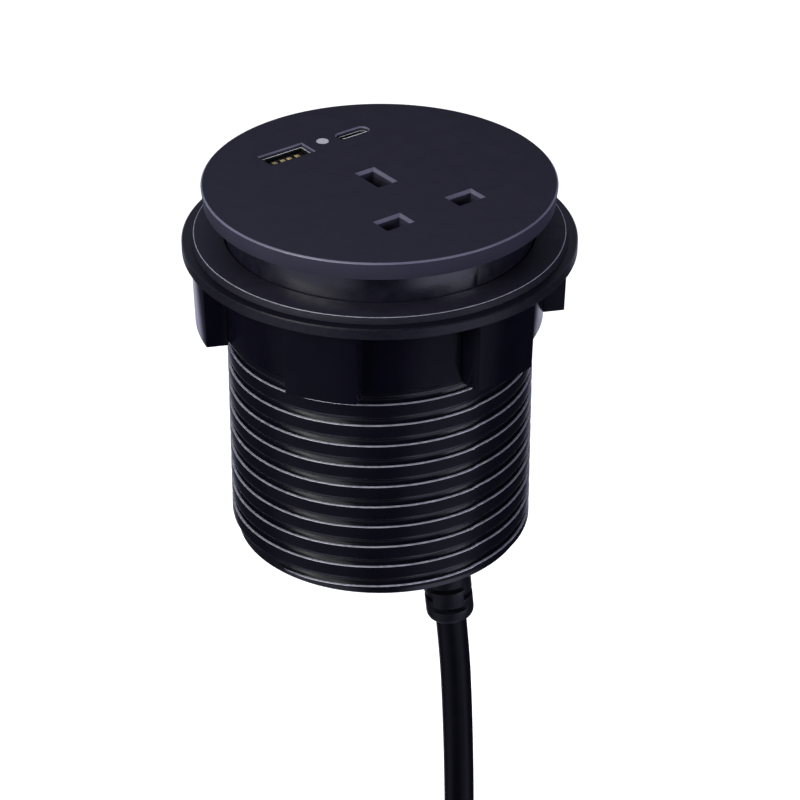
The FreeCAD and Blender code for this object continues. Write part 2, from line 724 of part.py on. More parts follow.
def contact(pin, pin_width, quarter_turn):
    """Bends a strip into a sprung U that grips a pin, with a tail and a crimp for its lead."""
    name = pin + "_contact"
    body = design(name)
    grip = "(pin_thickness / 2 - pin_grip / 2)"
    out = "(%s + contact_sheet)" % grip
    half = [(grip, "contact_sheet - contact_height"),
            ("%s + pin_grip" % grip, "0 - contact_height / 2"),
            (grip, "0 - contact_height / 6"),
            ("%s + contact_flare" % grip, "0"),
            ("%s + contact_flare" % out, "0"),
            (out, "0 - contact_height / 6"),
            ("%s + pin_grip" % out, "0 - contact_height / 2"),
            (out, "0 - contact_height")]
    mirrored = [("0 - (%s)" % across, height) for across, height in reversed(half)]
    drawing = draw_loop(sketch(body, name + "_bend", "XZ_Plane"), mirrored + half)
    pad(body, name + "_strip", drawing, pin_width, middle=True)
    tail = draw_loop(sketch(body, name + "_tail_outline", "XY_Plane", "0 - contact_height"),
                     rectangle("0", "0", "contact_sheet", "tail_width"))
    drop = "(%s - contact_height - %s)" % (CONTACT_TOP, TAIL_FOOT)
    pad(body, name + "_tail", tail, drop, down=True)
    crimp_top = "%s - %s" % (TAIL_FOOT, CONTACT_TOP)
    crimp = draw_circle(sketch(body, name + "_crimp_outline", "XY_Plane", crimp_top),
                        "0", "0", "crimp_radius")
    pad(body, name + "_crimp", crimp, "crimp_length", down=True)
    if quarter_turn:
        turn(body, 90)
    return place(body, *PINS[pin], CONTACT_TOP)


def contact_carrier():
    """Moulds the flange that the ledge clamps, the block with three wells, and the legs of the board."""
    inner = "(%s - spigot_wall - fit_gap)" % SPIGOT_RADIUS
    ledge_foot = "(0 - ledge_height)"
    flange = cylinder("carrier_flange_disc", "%s - fit_gap" % BORE_RADIUS, "carrier_flange", z=FLANGE_FOOT)
    top = cylinder("carrier_step", inner, "%s - %s" % (CARRIER_TOP, ledge_foot), z=ledge_foot)
    half = "(pin_spacing / 2 + line_hole_width / 2 + carrier_margin)"
    near = "(%s - line_hole_length / 2 - carrier_margin)" % LINE_Y
    far = "(earth_hole_y + earth_hole_length / 2 + carrier_margin)"
    block = box("carrier_block", "2 * %s" % half, "%s - %s" % (far, near),
                "%s - %s" % (FLANGE_FOOT, CARRIER_FOOT), "0", "(%s + %s) / 2" % (near, far), CARRIER_FOOT)
    legs = [cylinder("leg_%d" % side, "leg_radius", "leg_length", "%d * leg_x" % side, "leg_y", SUPPLY_TOP)
            for side in (1, -1)]
    wall = box("spring_wall_block", "2 * shutter_stem", "spring_wall", "shutter_thickness + running_gap", "0",
               "%s + spring_wall / 2" % SPRING_END, CARRIER_TOP)
    room = "(pin_thickness - pin_grip + 2 * contact_sheet + 2 * contact_flare + 2 * running_gap)"
    well_foot = "(%s - contact_height)" % CONTACT_TOP
    wells = []
    for pin, (x, y) in PINS.items():
        size = [room, "earth_pin_width + 2 * running_gap"]
        slit = ["contact_sheet + running_gap", "tail_width + running_gap"]
        if pin != "earth":
            size = ["line_pin_width + 2 * running_gap", room]
            slit.reverse()
        wells.append(box(pin + "_well", *size, "%s - %s" % (CARRIER_TOP, well_foot), x, y, well_foot))
        wells.append(box(pin + "_slit", *slit, "%s - %s" % (well_foot, CARRIER_FOOT), x, y, CARRIER_FOOT))
    window_y = "(usb_y - usb_a_depth / 2 - 1)"
    window = box("port_window", "2 * %s" % BORE_RADIUS, BORE_RADIUS, "carrier_flange + ledge_height", "0",
                 "%s + %s / 2" % (window_y, BORE_RADIUS), FLANGE_FOOT)
    holes = [cylinder("carrier_hole_%d" % number, "screw_radius + fit_gap", "carrier_flange + ledge_height",
                      x, y, FLANGE_FOOT) for number, (x, y) in enumerate(BOSSES)]
    leg_holes = [cylinder("leg_hole_%d" % side, "screw_radius + fit_gap", "screw_bite + fit_gap",
                          "%d * leg_x" % side, "leg_y", SUPPLY_TOP) for side in (1, -1)]
    posts = [cylinder("port_post_%d" % side, "leg_radius - 1", "%s - %s" % (FLANGE_FOOT, USB_BOARD_TOP),
                      "%d * far_boss_x - %d * boss_radius * 2" % (side, side), "far_boss_y + boss_radius / 2",
                      USB_BOARD_TOP) for side in (1, -1)]
    solid = fuse("carrier_solid", flange, top, block, wall, *(legs + posts))
    return cut("contact_carrier", solid, window, *(wells + holes + leg_holes))


def usb_ports():
    """Makes both upright ports, their tongues and the gold strips that show in the larger one."""
    foot = "(%s + port_floor)" % USB_BOARD_TOP
    shell_a = ("usb_a_width - 2 * fit_gap", "usb_a_depth - 2 * fit_gap")
    outer = box("usb_a_outer", *shell_a, "port_length", "usb_a_x", "usb_y", USB_BOARD_TOP)
    room = [text + " - 2 * shell_wall" for text in shell_a]
    cut("usb_a_shell", outer, box("usb_a_room", *room, "port_length", "usb_a_x", "usb_y", USB_BOARD_TOP))
    base = box("usb_a_base", *room, "port_floor", "usb_a_x", "usb_y", USB_BOARD_TOP)
    blade_y = "(usb_y + (%s) / 2 - tongue_a_setback - tongue_a_thickness / 2)" % room[1]
    blade_height = "(port_length - port_floor - tongue_sink)"
    blade = box("usb_a_blade", "tongue_a_width", "tongue_a_thickness", blade_height, "usb_a_x", blade_y, foot)
    fuse("usb_a_tongue", base, blade)
    strips = []
    for number in range(4):
        x = "(usb_a_x + gold_spacing * %.1f)" % (number - 1.5)
        y = "(%s - tongue_a_thickness / 2 - gold_thickness / 2)" % blade_y
        strips.append(box("gold_%d" % number, "gold_width", "gold_thickness", "gold_length", x, y,
                          "%s + %s - gold_length - gold_width" % (foot, blade_height)))
    group("usb_a_contacts", *strips)
    shell_c = ("usb_c_width - 2 * fit_gap", "usb_c_depth - 2 * fit_gap")
    outer = stadium("usb_c_outer", *shell_c, "port_length", "usb_c_x", "usb_y", USB_BOARD_TOP)
    room = [text + " - 2 * shell_wall" for text in shell_c]
    cut("usb_c_shell", outer, stadium("usb_c_room", *room, "port_length", "usb_c_x", "usb_y", USB_BOARD_TOP))
    base = stadium("usb_c_base", *room, "port_floor", "usb_c_x", "usb_y", USB_BOARD_TOP)
    blade = box("usb_c_blade", "tongue_c_width", "tongue_c_thickness", blade_height, "usb_c_x", "usb_y", foot)
    fuse("usb_c_tongue", base, blade)


def led_lens():
    foot = "(%s - lamp_flange)" % PLATE_FOOT
    stem = cylinder("lamp_stem", "lamp_radius - lamp_gap", "rim_height - %s" % foot, "lamp_x", "lamp_y", foot)
    flange = cylinder("lamp_collar", "lamp_radius + lamp_flange", "lamp_flange", "lamp_x", "lamp_y", foot)
    pipe = cylinder("lamp_pipe", "lamp_radius - lamp_flange / 2", "%s - %s" % (foot, USB_BOARD_TOP), "lamp_x",
                    "lamp_y", USB_BOARD_TOP)
    return fuse("led_lens", stem, flange, pipe)


def boards():
    """Makes both circuit boards and the large pieces on them."""
    radius = "(%s - board_setback)" % BORE_RADIUS
    disc = cylinder("usb_board_disc", radius, "board_thickness", z="%s - board_thickness" % USB_BOARD_TOP)
    side = box("usb_board_side", "2 * %s" % radius, radius, "board_thickness", "0",
               "usb_board_y + %s / 2" % radius, "%s - board_thickness" % USB_BOARD_TOP)
    common("usb_board", disc, side)
    plate = cylinder("supply_disc", radius, "board_thickness", z=SUPPLY_FOOT)
    notch = box("lead_notch", "pin_spacing + 4 * crimp_radius", radius, "board_thickness", "0",
                "%s + 2 * crimp_radius - %s / 2" % (LINE_Y, radius), SUPPLY_FOOT)
    slot = box("earth_lead_slot", "3 * crimp_radius", radius, "board_thickness", "0",
               "earth_hole_y + 2 * crimp_radius - %s / 2" % radius, SUPPLY_FOOT)
    holes = [cylinder("supply_hole_%d" % side_of, "screw_radius + fit_gap", "board_thickness",
                      "%d * leg_x" % side_of, "leg_y", SUPPLY_FOOT) for side_of in (1, -1)]
    cut("supply_board", plate, notch, slot, *holes)
    core_x = "(0 - core_length / 2 - crimp_radius * 2)"
    core = box("core", "core_length", "core_width", "core_height", core_x, "core_width",
               "%s - core_height" % SUPPLY_FOOT)
    winding = cylinder("winding", "winding_radius", "winding_height", core_x, "core_width",
                       "%s - (core_height + winding_height) / 2" % SUPPLY_FOOT)
    fuse("transformer", core, winding)
    tall = cylinder("tall_capacitor", "capacitor_radius", "capacitor_height", "core_width", "core_width",
                    "%s - capacitor_height" % SUPPLY_FOOT)
    small = [cylinder("small_capacitor_%d" % number, "small_capacitor_radius", "small_capacitor_height",
                      "%d * small_capacitor_radius * 3 + small_capacitor_x" % number,
                      "0 - small_capacitor_radius", "%s - small_capacitor_height" % SUPPLY_FOOT)
             for number in (0, 1)]
    group("capacitors", tall, *small)
    box("board_link", "link_width", "link_thickness",
        "%s - board_thickness - %s" % (USB_BOARD_TOP, SUPPLY_TOP), "0", "usb_board_y + link_thickness",
        SUPPLY_TOP)


def strain_relief():
    """Makes the leaning slotted sleeve with the neck and head that snap into the cover."""
    sleeve = cylinder("relief_sleeve", "relief_radius", "relief_length", z="relief_round - relief_length")
    tip = cone("relief_tip", "relief_radius - relief_round", "relief_radius", "relief_round",
               z="0 - relief_length")
    leaning = cut("relief_slotted", fuse("relief_plain", sleeve, tip), *relief_slots())
    lean = V(math.cos(math.radians(value("relief_lean"))), math.sin(math.radians(value("relief_lean"))), 0)
    turn(leaning, value("relief_tilt"), lean.cross(UP))
    place(leaning, "relief_x", "relief_y", "0 - barrel_length")
    above = box("relief_trim", "8 * relief_radius", "8 * relief_radius", "relief_length", "relief_x",
                "relief_y", "0 - barrel_length")
    outside = cut("relief_outside", leaning, above)
    neck = cylinder("relief_neck", "relief_neck_radius", "cover_thickness", "relief_x", "relief_y",
                    "0 - barrel_length")
    head = cylinder("relief_head", "relief_head_radius", "relief_head_height", "relief_x", "relief_y",
                    COVER_TOP)
    return fuse("strain_relief", outside, neck, head)


def relief_slots():
    """Makes the pairs of slots that let the sleeve bend, each pair square to the last."""
    slots = []
    core = "(cord_diameter / 2)"
    for number in range(round(value("relief_slot_rows"))):
        for side in (0, 180):
            slot = bind(doc.addObject("Part::Box", "relief_slot_%d_%d" % (number, side)),
                        Length="relief_radius", Width="2 * relief_radius - 2 * relief_slot_web",
                        Height="relief_slot")
            angle = value("relief_lean") + 90 * (number % 2) + side + 90
            turn(slot, angle)
            out = V(math.cos(math.radians(angle)), math.sin(math.radians(angle)), 0)
            half = "(relief_radius - relief_slot_web)"
            place(slot, "%s * %.9f + %s * %.9f" % (core, out.x, half, out.y),
                  "%s * %.9f - %s * %.9f" % (core, out.y, half, out.x),
                  "0 - relief_first_slot - relief_slot - relief_slot_step * %d" % number)
            slots.append(slot)
    return slots


def cord_clamp():
    block = box("clamp_block", "2 * clamp_half_width", "clamp_depth", "clamp_height", "0",
                "relief_y + clamp_depth / 2", COVER_TOP)
    groove = cylinder("clamp_groove", "cord_diameter / 2 + clamp_gap", "clamp_height", "relief_x", "relief_y",
                      COVER_TOP)
    room = cylinder("clamp_head_room", "relief_head_radius + fit_gap", "relief_head_height + fit_gap",
                    "relief_x", "relief_y", COVER_TOP)
    holes = [cylinder("clamp_bore_%d" % side, "screw_radius + fit_gap", "clamp_height",
                      "%d * clamp_screw_x" % side, "clamp_screw_y", COVER_TOP) for side in (1, -1)]
    cut("cord_clamp", block, groove, room, *holes)
    cylinder("cord_entry", "cord_diameter / 2", "entry_length", "relief_x", "relief_y", HEAD_TOP)


def rounded_path(points, label):
    """Joins the points by straight runs with arcs as large as their runs allow, and prints the radii."""
    starts, edges, radii = [points[0]], [], []
    for before, here, after in zip(points, points[1:], points[2:]):
        arriving, leaving = (here - before), (after - here)
        half_turn = arriving.getAngle(leaving) / 2
        tangent = 0.45 * min(arriving.Length, leaving.Length)
        radii.append(tangent / math.tan(half_turn))
        first = here - arriving.normalize() * tangent
        last = here + leaving.normalize() * tangent
        bisector = ((first + last) / 2 - here).normalize()
        middle = here + bisector * (radii[-1] / math.cos(half_turn) - radii[-1])
        edges.append(Part.LineSegment(starts[-1], first).toShape())
        edges.append(Part.Arc(first, middle, last).toShape())
        starts.append(last)
    edges.append(Part.LineSegment(starts[-1], points[-1]).toShape())
    print("%s radii" % label, ", ".join("%.1f" % radius for radius in radii))
    return Part.Wire(edges)


def section(path, diameter, sides):
    """Draws the many-sided ring of a tube at the start of its path."""
    start = path.Edges[0]
    heading = start.tangentAt(start.FirstParameter)
    middle = start.valueAt(start.FirstParameter)
    across = heading.cross(UP if abs(heading.z) < 0.9 else V(0, 1, 0)).normalize() * (diameter / 2)
    corners = [middle + FreeCAD.Rotation(heading, 360 * (number + 0.5) / sides).multVec(across)
               for number in range(sides)]
    return Part.makePolygon(corners + corners[:1])


def tube(name, path, diameter, sides):
    """Sweeps a section along a path, and compares its volume with section times length."""
    ring = section(path, diameter, sides)
    swept = path.makePipeShell([ring], True, False)
    plain = Part.Face(ring).Area * path.Length
    print("%s length %.1f mm, volume share %.4f" % (name, path.Length, swept.Volume / plain))
    return solid_of(name, swept)


def leads():
    """Runs the three cores from the lead's stripped end to their crimps."""
    foot = V(value("relief_x"), value("relief_y"), value("%s + entry_length" % HEAD_TOP))
    for pin, (starts, ends) in CORE_ROUTES.items():
        x, y = PINS[pin]
        crimp = V(value(x), value(y), value(CRIMP_FOOT))
        points = [foot + V(*start) for start in starts] + [crimp + V(*end) for end in ends]
        name = pin + "_lead"
        tube(name, rounded_path(points, name), value("lead_diameter"), LEAD_SIDES)


def relief_axis(reach):
    """Gives the point of the strain relief's leaning axis at a distance below the cover."""
    lean, tilt = math.radians(value("relief_lean")), math.radians(value("relief_tilt"))
    return V(value("relief_x") + reach * math.sin(tilt) * math.cos(lean),
             value("relief_y") + reach * math.sin(tilt) * math.sin(lean),
             -value("barrel_length") - reach * math.cos(tilt))


def cord():
    end = value("relief_length")
    points = [relief_axis(end), relief_axis(end + CORD_LEAD)]
    points += [V(*point) for point in CORD_POINTS] + [coil_start()]
    return tube("cord", rounded_path(points, "cord"), value("cord_diameter"), CORD_SIDES)


def coil_radius(half_turns):
    """Gives the coil's radius after a number of half turns from its innermost point."""
    return value("coil_inner_radius") + half_turns * value("coil_turn_step") / 2


def coil_start():
    """Gives where the free lead meets the coil, one diameter before its first turn."""
    turns = 2 * round(value("coil_turns_in"))
    return V(value("coil_x + cord_diameter"), value("coil_y") + coil_radius(turns), value(LAY_HEIGHT))


def half_turn(start, stop, heading):
    """Joins two points by a half circle that leaves the first one along a heading."""
    middle = (start + stop) / 2 + heading * ((stop - start).Length / 2)
    return Part.Arc(start, middle, stop).toShape()


def cord_coil():
    """Winds the lead inwards on the first layer, climbs in the half turn where it reverses, and out again."""
    centre_x, centre_y, low = value("coil_x"), value("coil_y"), value(LAY_HEIGHT)
    rise = value("coil_rise")
    inward = 2 * round(value("coil_turns_in"))
    outward = round(value("coil_half_turns_out"))
    radii = [coil_radius(inward - number) for number in range(inward + 1)]
    radii += [coil_radius(number) for number in range(outward + 1)]
    points = []
    for number, radius in enumerate(radii):
        side = 1 if number % 2 == 0 else -1
        points.append(V(centre_x, centre_y + side * radius, low if number <= inward else low + rise))
    edges = [Part.LineSegment(coil_start(), points[0]).toShape()]
    for number, (start, stop) in enumerate(zip(points, points[1:])):
        heading = V(-1, 0, 0) if number % 2 == 0 else V(1, 0, 0)
        edges.append(half_turn(start, stop, heading))
    tail = points[-1] + V(value("tail_length"), 0, 0)
    edges.append(Part.LineSegment(points[-1], tail).toShape())
    path = Part.Wire(edges)
    print("coil's least gap to itself %.2f mm" % least_gap(path, value("cord_diameter")))
    tube("cord_coil", path, value("cord_diameter"), COIL_SIDES)
    return tail


def least_gap(path, diameter):
    """Measures how near the winding comes to itself, away from each point's own neighbours."""
    step = 3.0
    points = path.discretize(Distance=step)
    skip = round(2.5 * diameter / step) + 1
    return min(a.distanceToPoint(b) for i, a in enumerate(points) for b in points[i + skip:]) - diameter


def coil_tie():
    """Wraps a flat strap round both layers where they run along Y."""
    inner = value("coil_inner_radius") + value("coil_turn_step") / 4
    outer = inner + value("coil_turn_step")
    sagitta = inner - math.sqrt(inner ** 2 - (value("tie_width") / 2) ** 2)
    near = inner - value("cord_diameter / 2 + tie_slack") - sagitta
    far = outer + value("cord_diameter / 2 + tie_slack")
    height = value("cord_diameter + coil_rise + 2 * fit_gap")
    wall = value("tie_thickness")
    width = value("tie_width")
    left = value("coil_x") + near
    foot = value(FLOOR)
    side = value("coil_y") - width / 2
    outside = Part.makeBox(far - near + 2 * wall, width, height + 2 * wall, V(left - wall, side, foot))
    outside = outside.makeFillet(wall * 2, [edge for edge in outside.Edges if edge.BoundBox.YLength > 1])
    room = Part.makeBox(far - near, width, height, V(left, side, foot + wall))
    room = room.makeFillet(wall, [edge for edge in room.Edges if edge.BoundBox.YLength > 1])
    return solid_of("coil_tie", outside.cut(room))


def plug(tail):
    """Makes the plug at the lead's end, on its back with its pins up and its earth pin farthest along +X."""
    y = "%.6f" % tail.y
    near = "(%.6f + plug_relief_length)" % tail.x
    line_x = "(%s + plug_line_setback)" % near
    earth_x = "(%s + pin_spacing)" % line_x
    middle_x = "(%s + pin_spacing / 2)" % line_x
    body = design("plug_body")
    foot = draw_loop(sketch(body, "plug_outline", "XY_Plane", FLOOR), plug_outline(near, y, "plug_draft"))
    face = draw_loop(sketch(body, "plug_face", "XY_Plane", PLUG_TOP), plug_outline(near, y, "0"))
    loft = body.newObject("PartDesign::AdditiveLoft", "plug_shell")
    loft.Profile = foot
    loft.Sections = [face]
    room = draw_loop(sketch(body, "fuse_room_outline", "XY_Plane", PLUG_TOP),
                     rectangle(middle_x, y, "fuse_tray_width + 2 * running_gap", FUSE_ROOM))
    pocket(body, "fuse_room", room, "fuse_tray_depth + running_gap")
    plug_relief(tail)
    plug_pin("plug_earth_pin", earth_x, y, "earth_pin_width", "pin_thickness", "earth_pin_length")
    sleeves = []
    for side, name in ((-1, "plug_live_pin"), (1, "plug_neutral_pin")):
        pin_y = "(%s + %d * pin_spacing / 2)" % (y, side)
        plug_pin(name, line_x, pin_y, "pin_thickness", "line_pin_width", "line_pin_length", sleeves)
    group("plug_pin_sleeves", *sleeves)
    fuse_tray(middle_x, y)


def plug_outline(near, y, inset):
    """Gives the corners of the plug's outline, which narrows towards the earth pin."""
    wide = "(plug_width / 2 - %s)" % inset
    narrow = "(%s - plug_corner)" % wide
    back = "(%s + plug_length - %s)" % (near, inset)
    shoulder = "(%s + plug_corner / 2)" % near
    bend = "(%s - plug_taper)" % back
    return [(near, "%s + %s" % (y, narrow)), (near, "%s - %s" % (y, narrow)),
            (shoulder, "%s - %s" % (y, wide)), (bend, "%s - %s" % (y, wide)),
            (back, "%s - %s" % (y, narrow)), (back, "%s + %s" % (y, narrow)),
            (bend, "%s + %s" % (y, wide)), (shoulder, "%s + %s" % (y, wide))]


def plug_relief(tail):
    """Tapers the plug's own strain relief from the lead to the body."""
    rings = []
    for radius, reach in (("plug_relief_tip", "0"), ("plug_relief_radius", "plug_relief_length")):
        middle = tail + V(value(reach), 0, 0)
        turns = [FreeCAD.Rotation(V(1, 0, 0), 360 * number / RELIEF_SIDES) for number in range(RELIEF_SIDES)]
        corners = [middle + spoke.multVec(V(0, value(radius), 0)) for spoke in turns]
        rings.append(Part.makePolygon(corners + corners[:1]))
    return solid_of("plug_relief", Part.makeLoft(rings, True, True))


def plug_pin(name, x, y, across, along, length, sleeves=None):
    """Makes a flat pin, and on the line pins an insulating sleeve round the half next to the plug."""
    if sleeves is None:
        return box(name, across, along, length, x, y, PLUG_TOP)
    narrow = ["%s - 2 * sleeve_wall" % text for text in (across, along)]
    stem = box(name + "_stem", *narrow, "sleeve_length", x, y, PLUG_TOP)
    blade = box(name + "_blade", across, along, "%s - sleeve_length" % length, x, y,
                "%s + sleeve_length" % PLUG_TOP)
    outer = box(name + "_sleeve_outer", across, along, "sleeve_length", x, y, PLUG_TOP)
    room = box(name + "_sleeve_room", *narrow, "sleeve_length", x, y, PLUG_TOP)
    sleeves.append(cut(name + "_sleeve", outer, room))
    return fuse(name, stem, blade)


def fuse_tray(x, y):
    """Makes the tray that is prised out of the plug's face with its cartridge fuse, which lies along Y."""
    plate_foot = "(%s - fuse_tray_plate)" % PLUG_TOP
    plate = box("tray_plate", "fuse_tray_width", "fuse_length + 2 * fuse_tray_arm", "fuse_tray_plate", x, y,
                plate_foot)
    arms = [box("tray_arm_%d" % side, "fuse_tray_width - 2 * fuse_tray_arm", "fuse_tray_arm",
                "fuse_tray_depth - fuse_tray_plate", x,
                "%s + %d * (fuse_length + fuse_tray_arm) / 2" % (y, side), "%s - fuse_tray_depth" % PLUG_TOP)
            for side in (1, -1)]
    notch = box("tray_notch", "fuse_tray_arm", "fuse_tray_width / 2", "fuse_tray_plate / 2",
                "%s + fuse_tray_width / 2" % x, y, "%s - fuse_tray_plate / 2" % PLUG_TOP)
    cut("fuse_carrier", fuse("tray_solid", plate, *arms), notch)
    middle = V(value(x), value(y), value("%s - fuse_radius" % plate_foot))
    half, cap, radius = value("fuse_length") / 2, value("fuse_cap_length"), value("fuse_radius")
    along = V(0, 1, 0)
    tube_of_fuse = Part.makeCylinder(value("fuse_radius - fuse_cap_wall"), 2 * (half - cap),
                                     middle - along * (half - cap), along)
    caps = [Part.makeCylinder(radius, cap, middle + along * start, along) for start in (-half, half - cap)]
    solid_of("plug_fuse", tube_of_fuse.fuse(caps))


def make_all():
    faceplate()
    threaded_barrel()
    base_cover()
    screws()
    clamp_washer()
    lock_nut()
    socket_shutter()
    shutter_spring()
    contact("live", "line_pin_width", True)
    contact("neutral", "line_pin_width", True)
    contact("earth", "earth_pin_width", False)
    contact_carrier()
    usb_ports()
    led_lens()
    boards()
    strain_relief()
    cord_clamp()
    leads()
    cord()
    tail = cord_coil()
    coil_tie()
    plug(tail)


NODES = ["faceplate", "threaded_barrel", "base_cover", "base_screws", "carrier_screws", "clamp_screws",
         "board_screws", "clamp_washer", "lock_nut", "socket_shutter", "shutter_spring", "contact_carrier",
         "live_contact", "neutral_contact", "earth_contact", "usb_a_shell", "usb_a_tongue", "usb_a_contacts",
         "usb_c_shell", "usb_c_tongue", "led_lens", "usb_board", "supply_board", "transformer", "capacitors",
         "board_link", "strain_relief", "cord_clamp", "cord_entry", "live_lead", "neutral_lead", "earth_lead",
         "cord", "cord_coil", "coil_tie", "plug_relief", "plug_body", "plug_earth_pin", "plug_live_pin",
         "plug_neutral_pin", "plug_pin_sleeves", "fuse_carrier", "plug_fuse"]


def write_all():
    """Checks every object and writes each node's solids to its own file."""
    doc.recompute()
    for thing in doc.Objects:
        if "Invalid" in thing.State or "Error" in thing.State:
            raise ValueError("%s is %s" % (thing.Name, ", ".join(thing.State)))
    os.makedirs("parts", exist_ok=True)
    for name in NODES:
        thing = doc.getObject(name)
        shape = thing.Shape
        if shape.isNull() or not shape.isValid() or not shape.Solids:
            raise ValueError("%s has no valid solid" % name)
        shape.exportStep("parts/%s.step" % name)
    print("%d nodes" % len(NODES))


make_all()
write_all()
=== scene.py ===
"""In-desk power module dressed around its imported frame: a socket and two ports in a threaded barrel.

Metres, +Z up. The origin is the centre of the rim's underside, and +Y points to the charging ports.
"""
import bmesh
import bpy
import math
from mathutils import Matrix, Vector


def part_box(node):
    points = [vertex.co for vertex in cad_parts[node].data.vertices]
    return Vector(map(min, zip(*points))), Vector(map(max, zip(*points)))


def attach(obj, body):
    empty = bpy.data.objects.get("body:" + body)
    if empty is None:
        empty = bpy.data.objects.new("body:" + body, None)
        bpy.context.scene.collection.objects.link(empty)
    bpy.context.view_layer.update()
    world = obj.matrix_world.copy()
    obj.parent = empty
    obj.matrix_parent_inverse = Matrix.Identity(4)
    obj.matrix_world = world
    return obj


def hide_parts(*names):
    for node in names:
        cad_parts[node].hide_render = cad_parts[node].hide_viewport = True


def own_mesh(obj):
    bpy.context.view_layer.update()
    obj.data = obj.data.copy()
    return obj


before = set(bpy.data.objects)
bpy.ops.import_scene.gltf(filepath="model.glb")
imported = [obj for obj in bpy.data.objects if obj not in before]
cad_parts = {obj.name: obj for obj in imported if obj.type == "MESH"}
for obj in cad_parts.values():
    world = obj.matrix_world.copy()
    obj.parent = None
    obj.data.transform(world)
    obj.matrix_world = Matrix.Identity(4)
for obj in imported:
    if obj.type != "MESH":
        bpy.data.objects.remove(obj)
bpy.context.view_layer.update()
MM = 0.001


# Sizes in millimetres that the frame gives

def corners_of(node):
    """Gives a node's lowest and highest corner in millimetres."""
    return [[round(value / MM, 2) for value in corner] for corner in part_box(node)]


def foot_of(node):
    """Gives the height of a node's foot in millimetres."""
    return corners_of(node)[0][2]


def top_of(node):
    """Gives the height of a node's top in millimetres."""
    return corners_of(node)[1][2]


def reach_of(node):
    """Gives how far a round node reaches from the axis in millimetres."""
    return corners_of(node)[1][0]


PLATE_TOP = top_of("faceplate")
BARREL_FOOT = foot_of("threaded_barrel")
FLANGE_TOP = top_of("threaded_barrel")
FLANGE_RADIUS = reach_of("threaded_barrel")
COVER_TOP = top_of("base_cover")
WASHER_FOOT = foot_of("clamp_washer")
WASHER_TOP = top_of("clamp_washer")
WASHER_RADIUS = reach_of("clamp_washer")
NUT_FOOT = foot_of("lock_nut")
NUT_TOP = top_of("lock_nut")
NUT_FLANGE_RADIUS = reach_of("lock_nut")
FLOOR_HEIGHT = foot_of("plug_body")

# How near a point has to lie to a height to be on it, in millimetres
NEAR = 1e-3
# Steps of a full turn on the large round pieces
TURN_STEPS = 144


# Making shapes by hand

def deselect():
    """Leaves edit mode and selects nothing."""
    if bpy.context.object and bpy.context.object.mode != "OBJECT":
        bpy.ops.object.mode_set(mode="OBJECT")
    bpy.ops.object.select_all(action="DESELECT")


def activate(piece):
    """Makes one piece the only selected and active one."""
    deselect()
    piece.select_set(True)
    bpy.context.view_layer.objects.active = piece


def settle(piece):
    """Moves a piece's place, turn and scale into its mesh."""
    activate(piece)
    bpy.ops.object.transform_apply(location=True, rotation=True, scale=True)


def turn(piece, angle):
    """Turns a piece about Z by radians."""
    piece.matrix_world = Matrix.Rotation(angle, 4, "Z")
    settle(piece)


def block(size, place):
    """Adds a block by its size and the place of its middle, both in millimetres."""
    deselect()
    bpy.ops.mesh.primitive_cube_add(size=1)
    made = bpy.context.object
    made.scale = [side * MM for side in size]
    made.location = [value * MM for value in place]
    settle(made)
    return made


def arc(centre, across, up, angles):
    """Gives an arc's points of radius and height, by its centre, its two half axes and angles in degrees."""
    turns = [math.radians(angle) for angle in angles]
    return [(centre[0] + across * math.cos(a), centre[1] + up * math.sin(a)) for a in turns]


def outline(name, points, closed=True):
    """Draws a chain of edges in the XZ plane through points of radius and height in millimetres."""
    places = [Vector((x * MM, 0, z * MM)) for x, z in points]
    deselect()
    bpy.ops.mesh.primitive_plane_add(size=MM)
    chain = bpy.context.object
    chain.name = name
    bpy.ops.object.mode_set(mode="EDIT")
    bpy.ops.mesh.select_mode(type="VERT")
    bpy.ops.mesh.select_all(action="SELECT")
    bpy.ops.mesh.merge(type="CENTER")
    bpy.ops.transform.translate(value=places[0])
    for before, after in zip(places, places[1:]):
        bpy.ops.mesh.extrude_vertices_move(TRANSFORM_OT_translate={"value": after - before})
    if closed:
        mesh = bmesh.from_edit_mesh(chain.data)
        for vertex in mesh.verts:
            vertex.select_set(len(vertex.link_edges) == 1)
        bmesh.update_edit_mesh(chain.data)
        bpy.ops.mesh.edge_face_add()
    bpy.ops.object.mode_set(mode="OBJECT")
    return chain


def apply(piece, kind, **settings):
    """Adds a modifier with its settings and applies it."""
    activate(piece)
    modifier = piece.modifiers.new(kind, kind)
    for name, setting in settings.items():
        setattr(modifier, name, setting)
    bpy.ops.object.modifier_apply(modifier=modifier.name)


def bevel(piece, width, segments, sharper_than):
    """Rounds the edges whose faces meet at more than an angle in degrees, by a width in millimetres."""
    apply(piece, "BEVEL", width=width * MM, segments=segments, limit_method="ANGLE",
          angle_limit=math.radians(sharper_than))


def combine(piece, other, operation):
    """Adds, cuts or keeps another closed shape in a piece, and uses that shape up."""
    apply(piece, "BOOLEAN", object=other, operation=operation, solver="EXACT")
    bpy.data.objects.remove(other)


def join(pieces):
    """Joins pieces into the first of them."""
    activate(pieces[0])
    for piece in pieces:
        piece.select_set(True)
    bpy.ops.object.join()
    return bpy.context.object


def weld(piece, outward=True):
    """Merges doubled vertices and points the faces outwards."""
    activate(piece)
    bpy.ops.object.mode_set(mode="EDIT")
    bpy.ops.mesh.select_all(action="SELECT")
    bpy.ops.mesh.remove_doubles(threshold=2e-6)
    if outward:
        bpy.ops.mesh.normals_make_consistent(inside=False)
    bpy.ops.object.mode_set(mode="OBJECT")


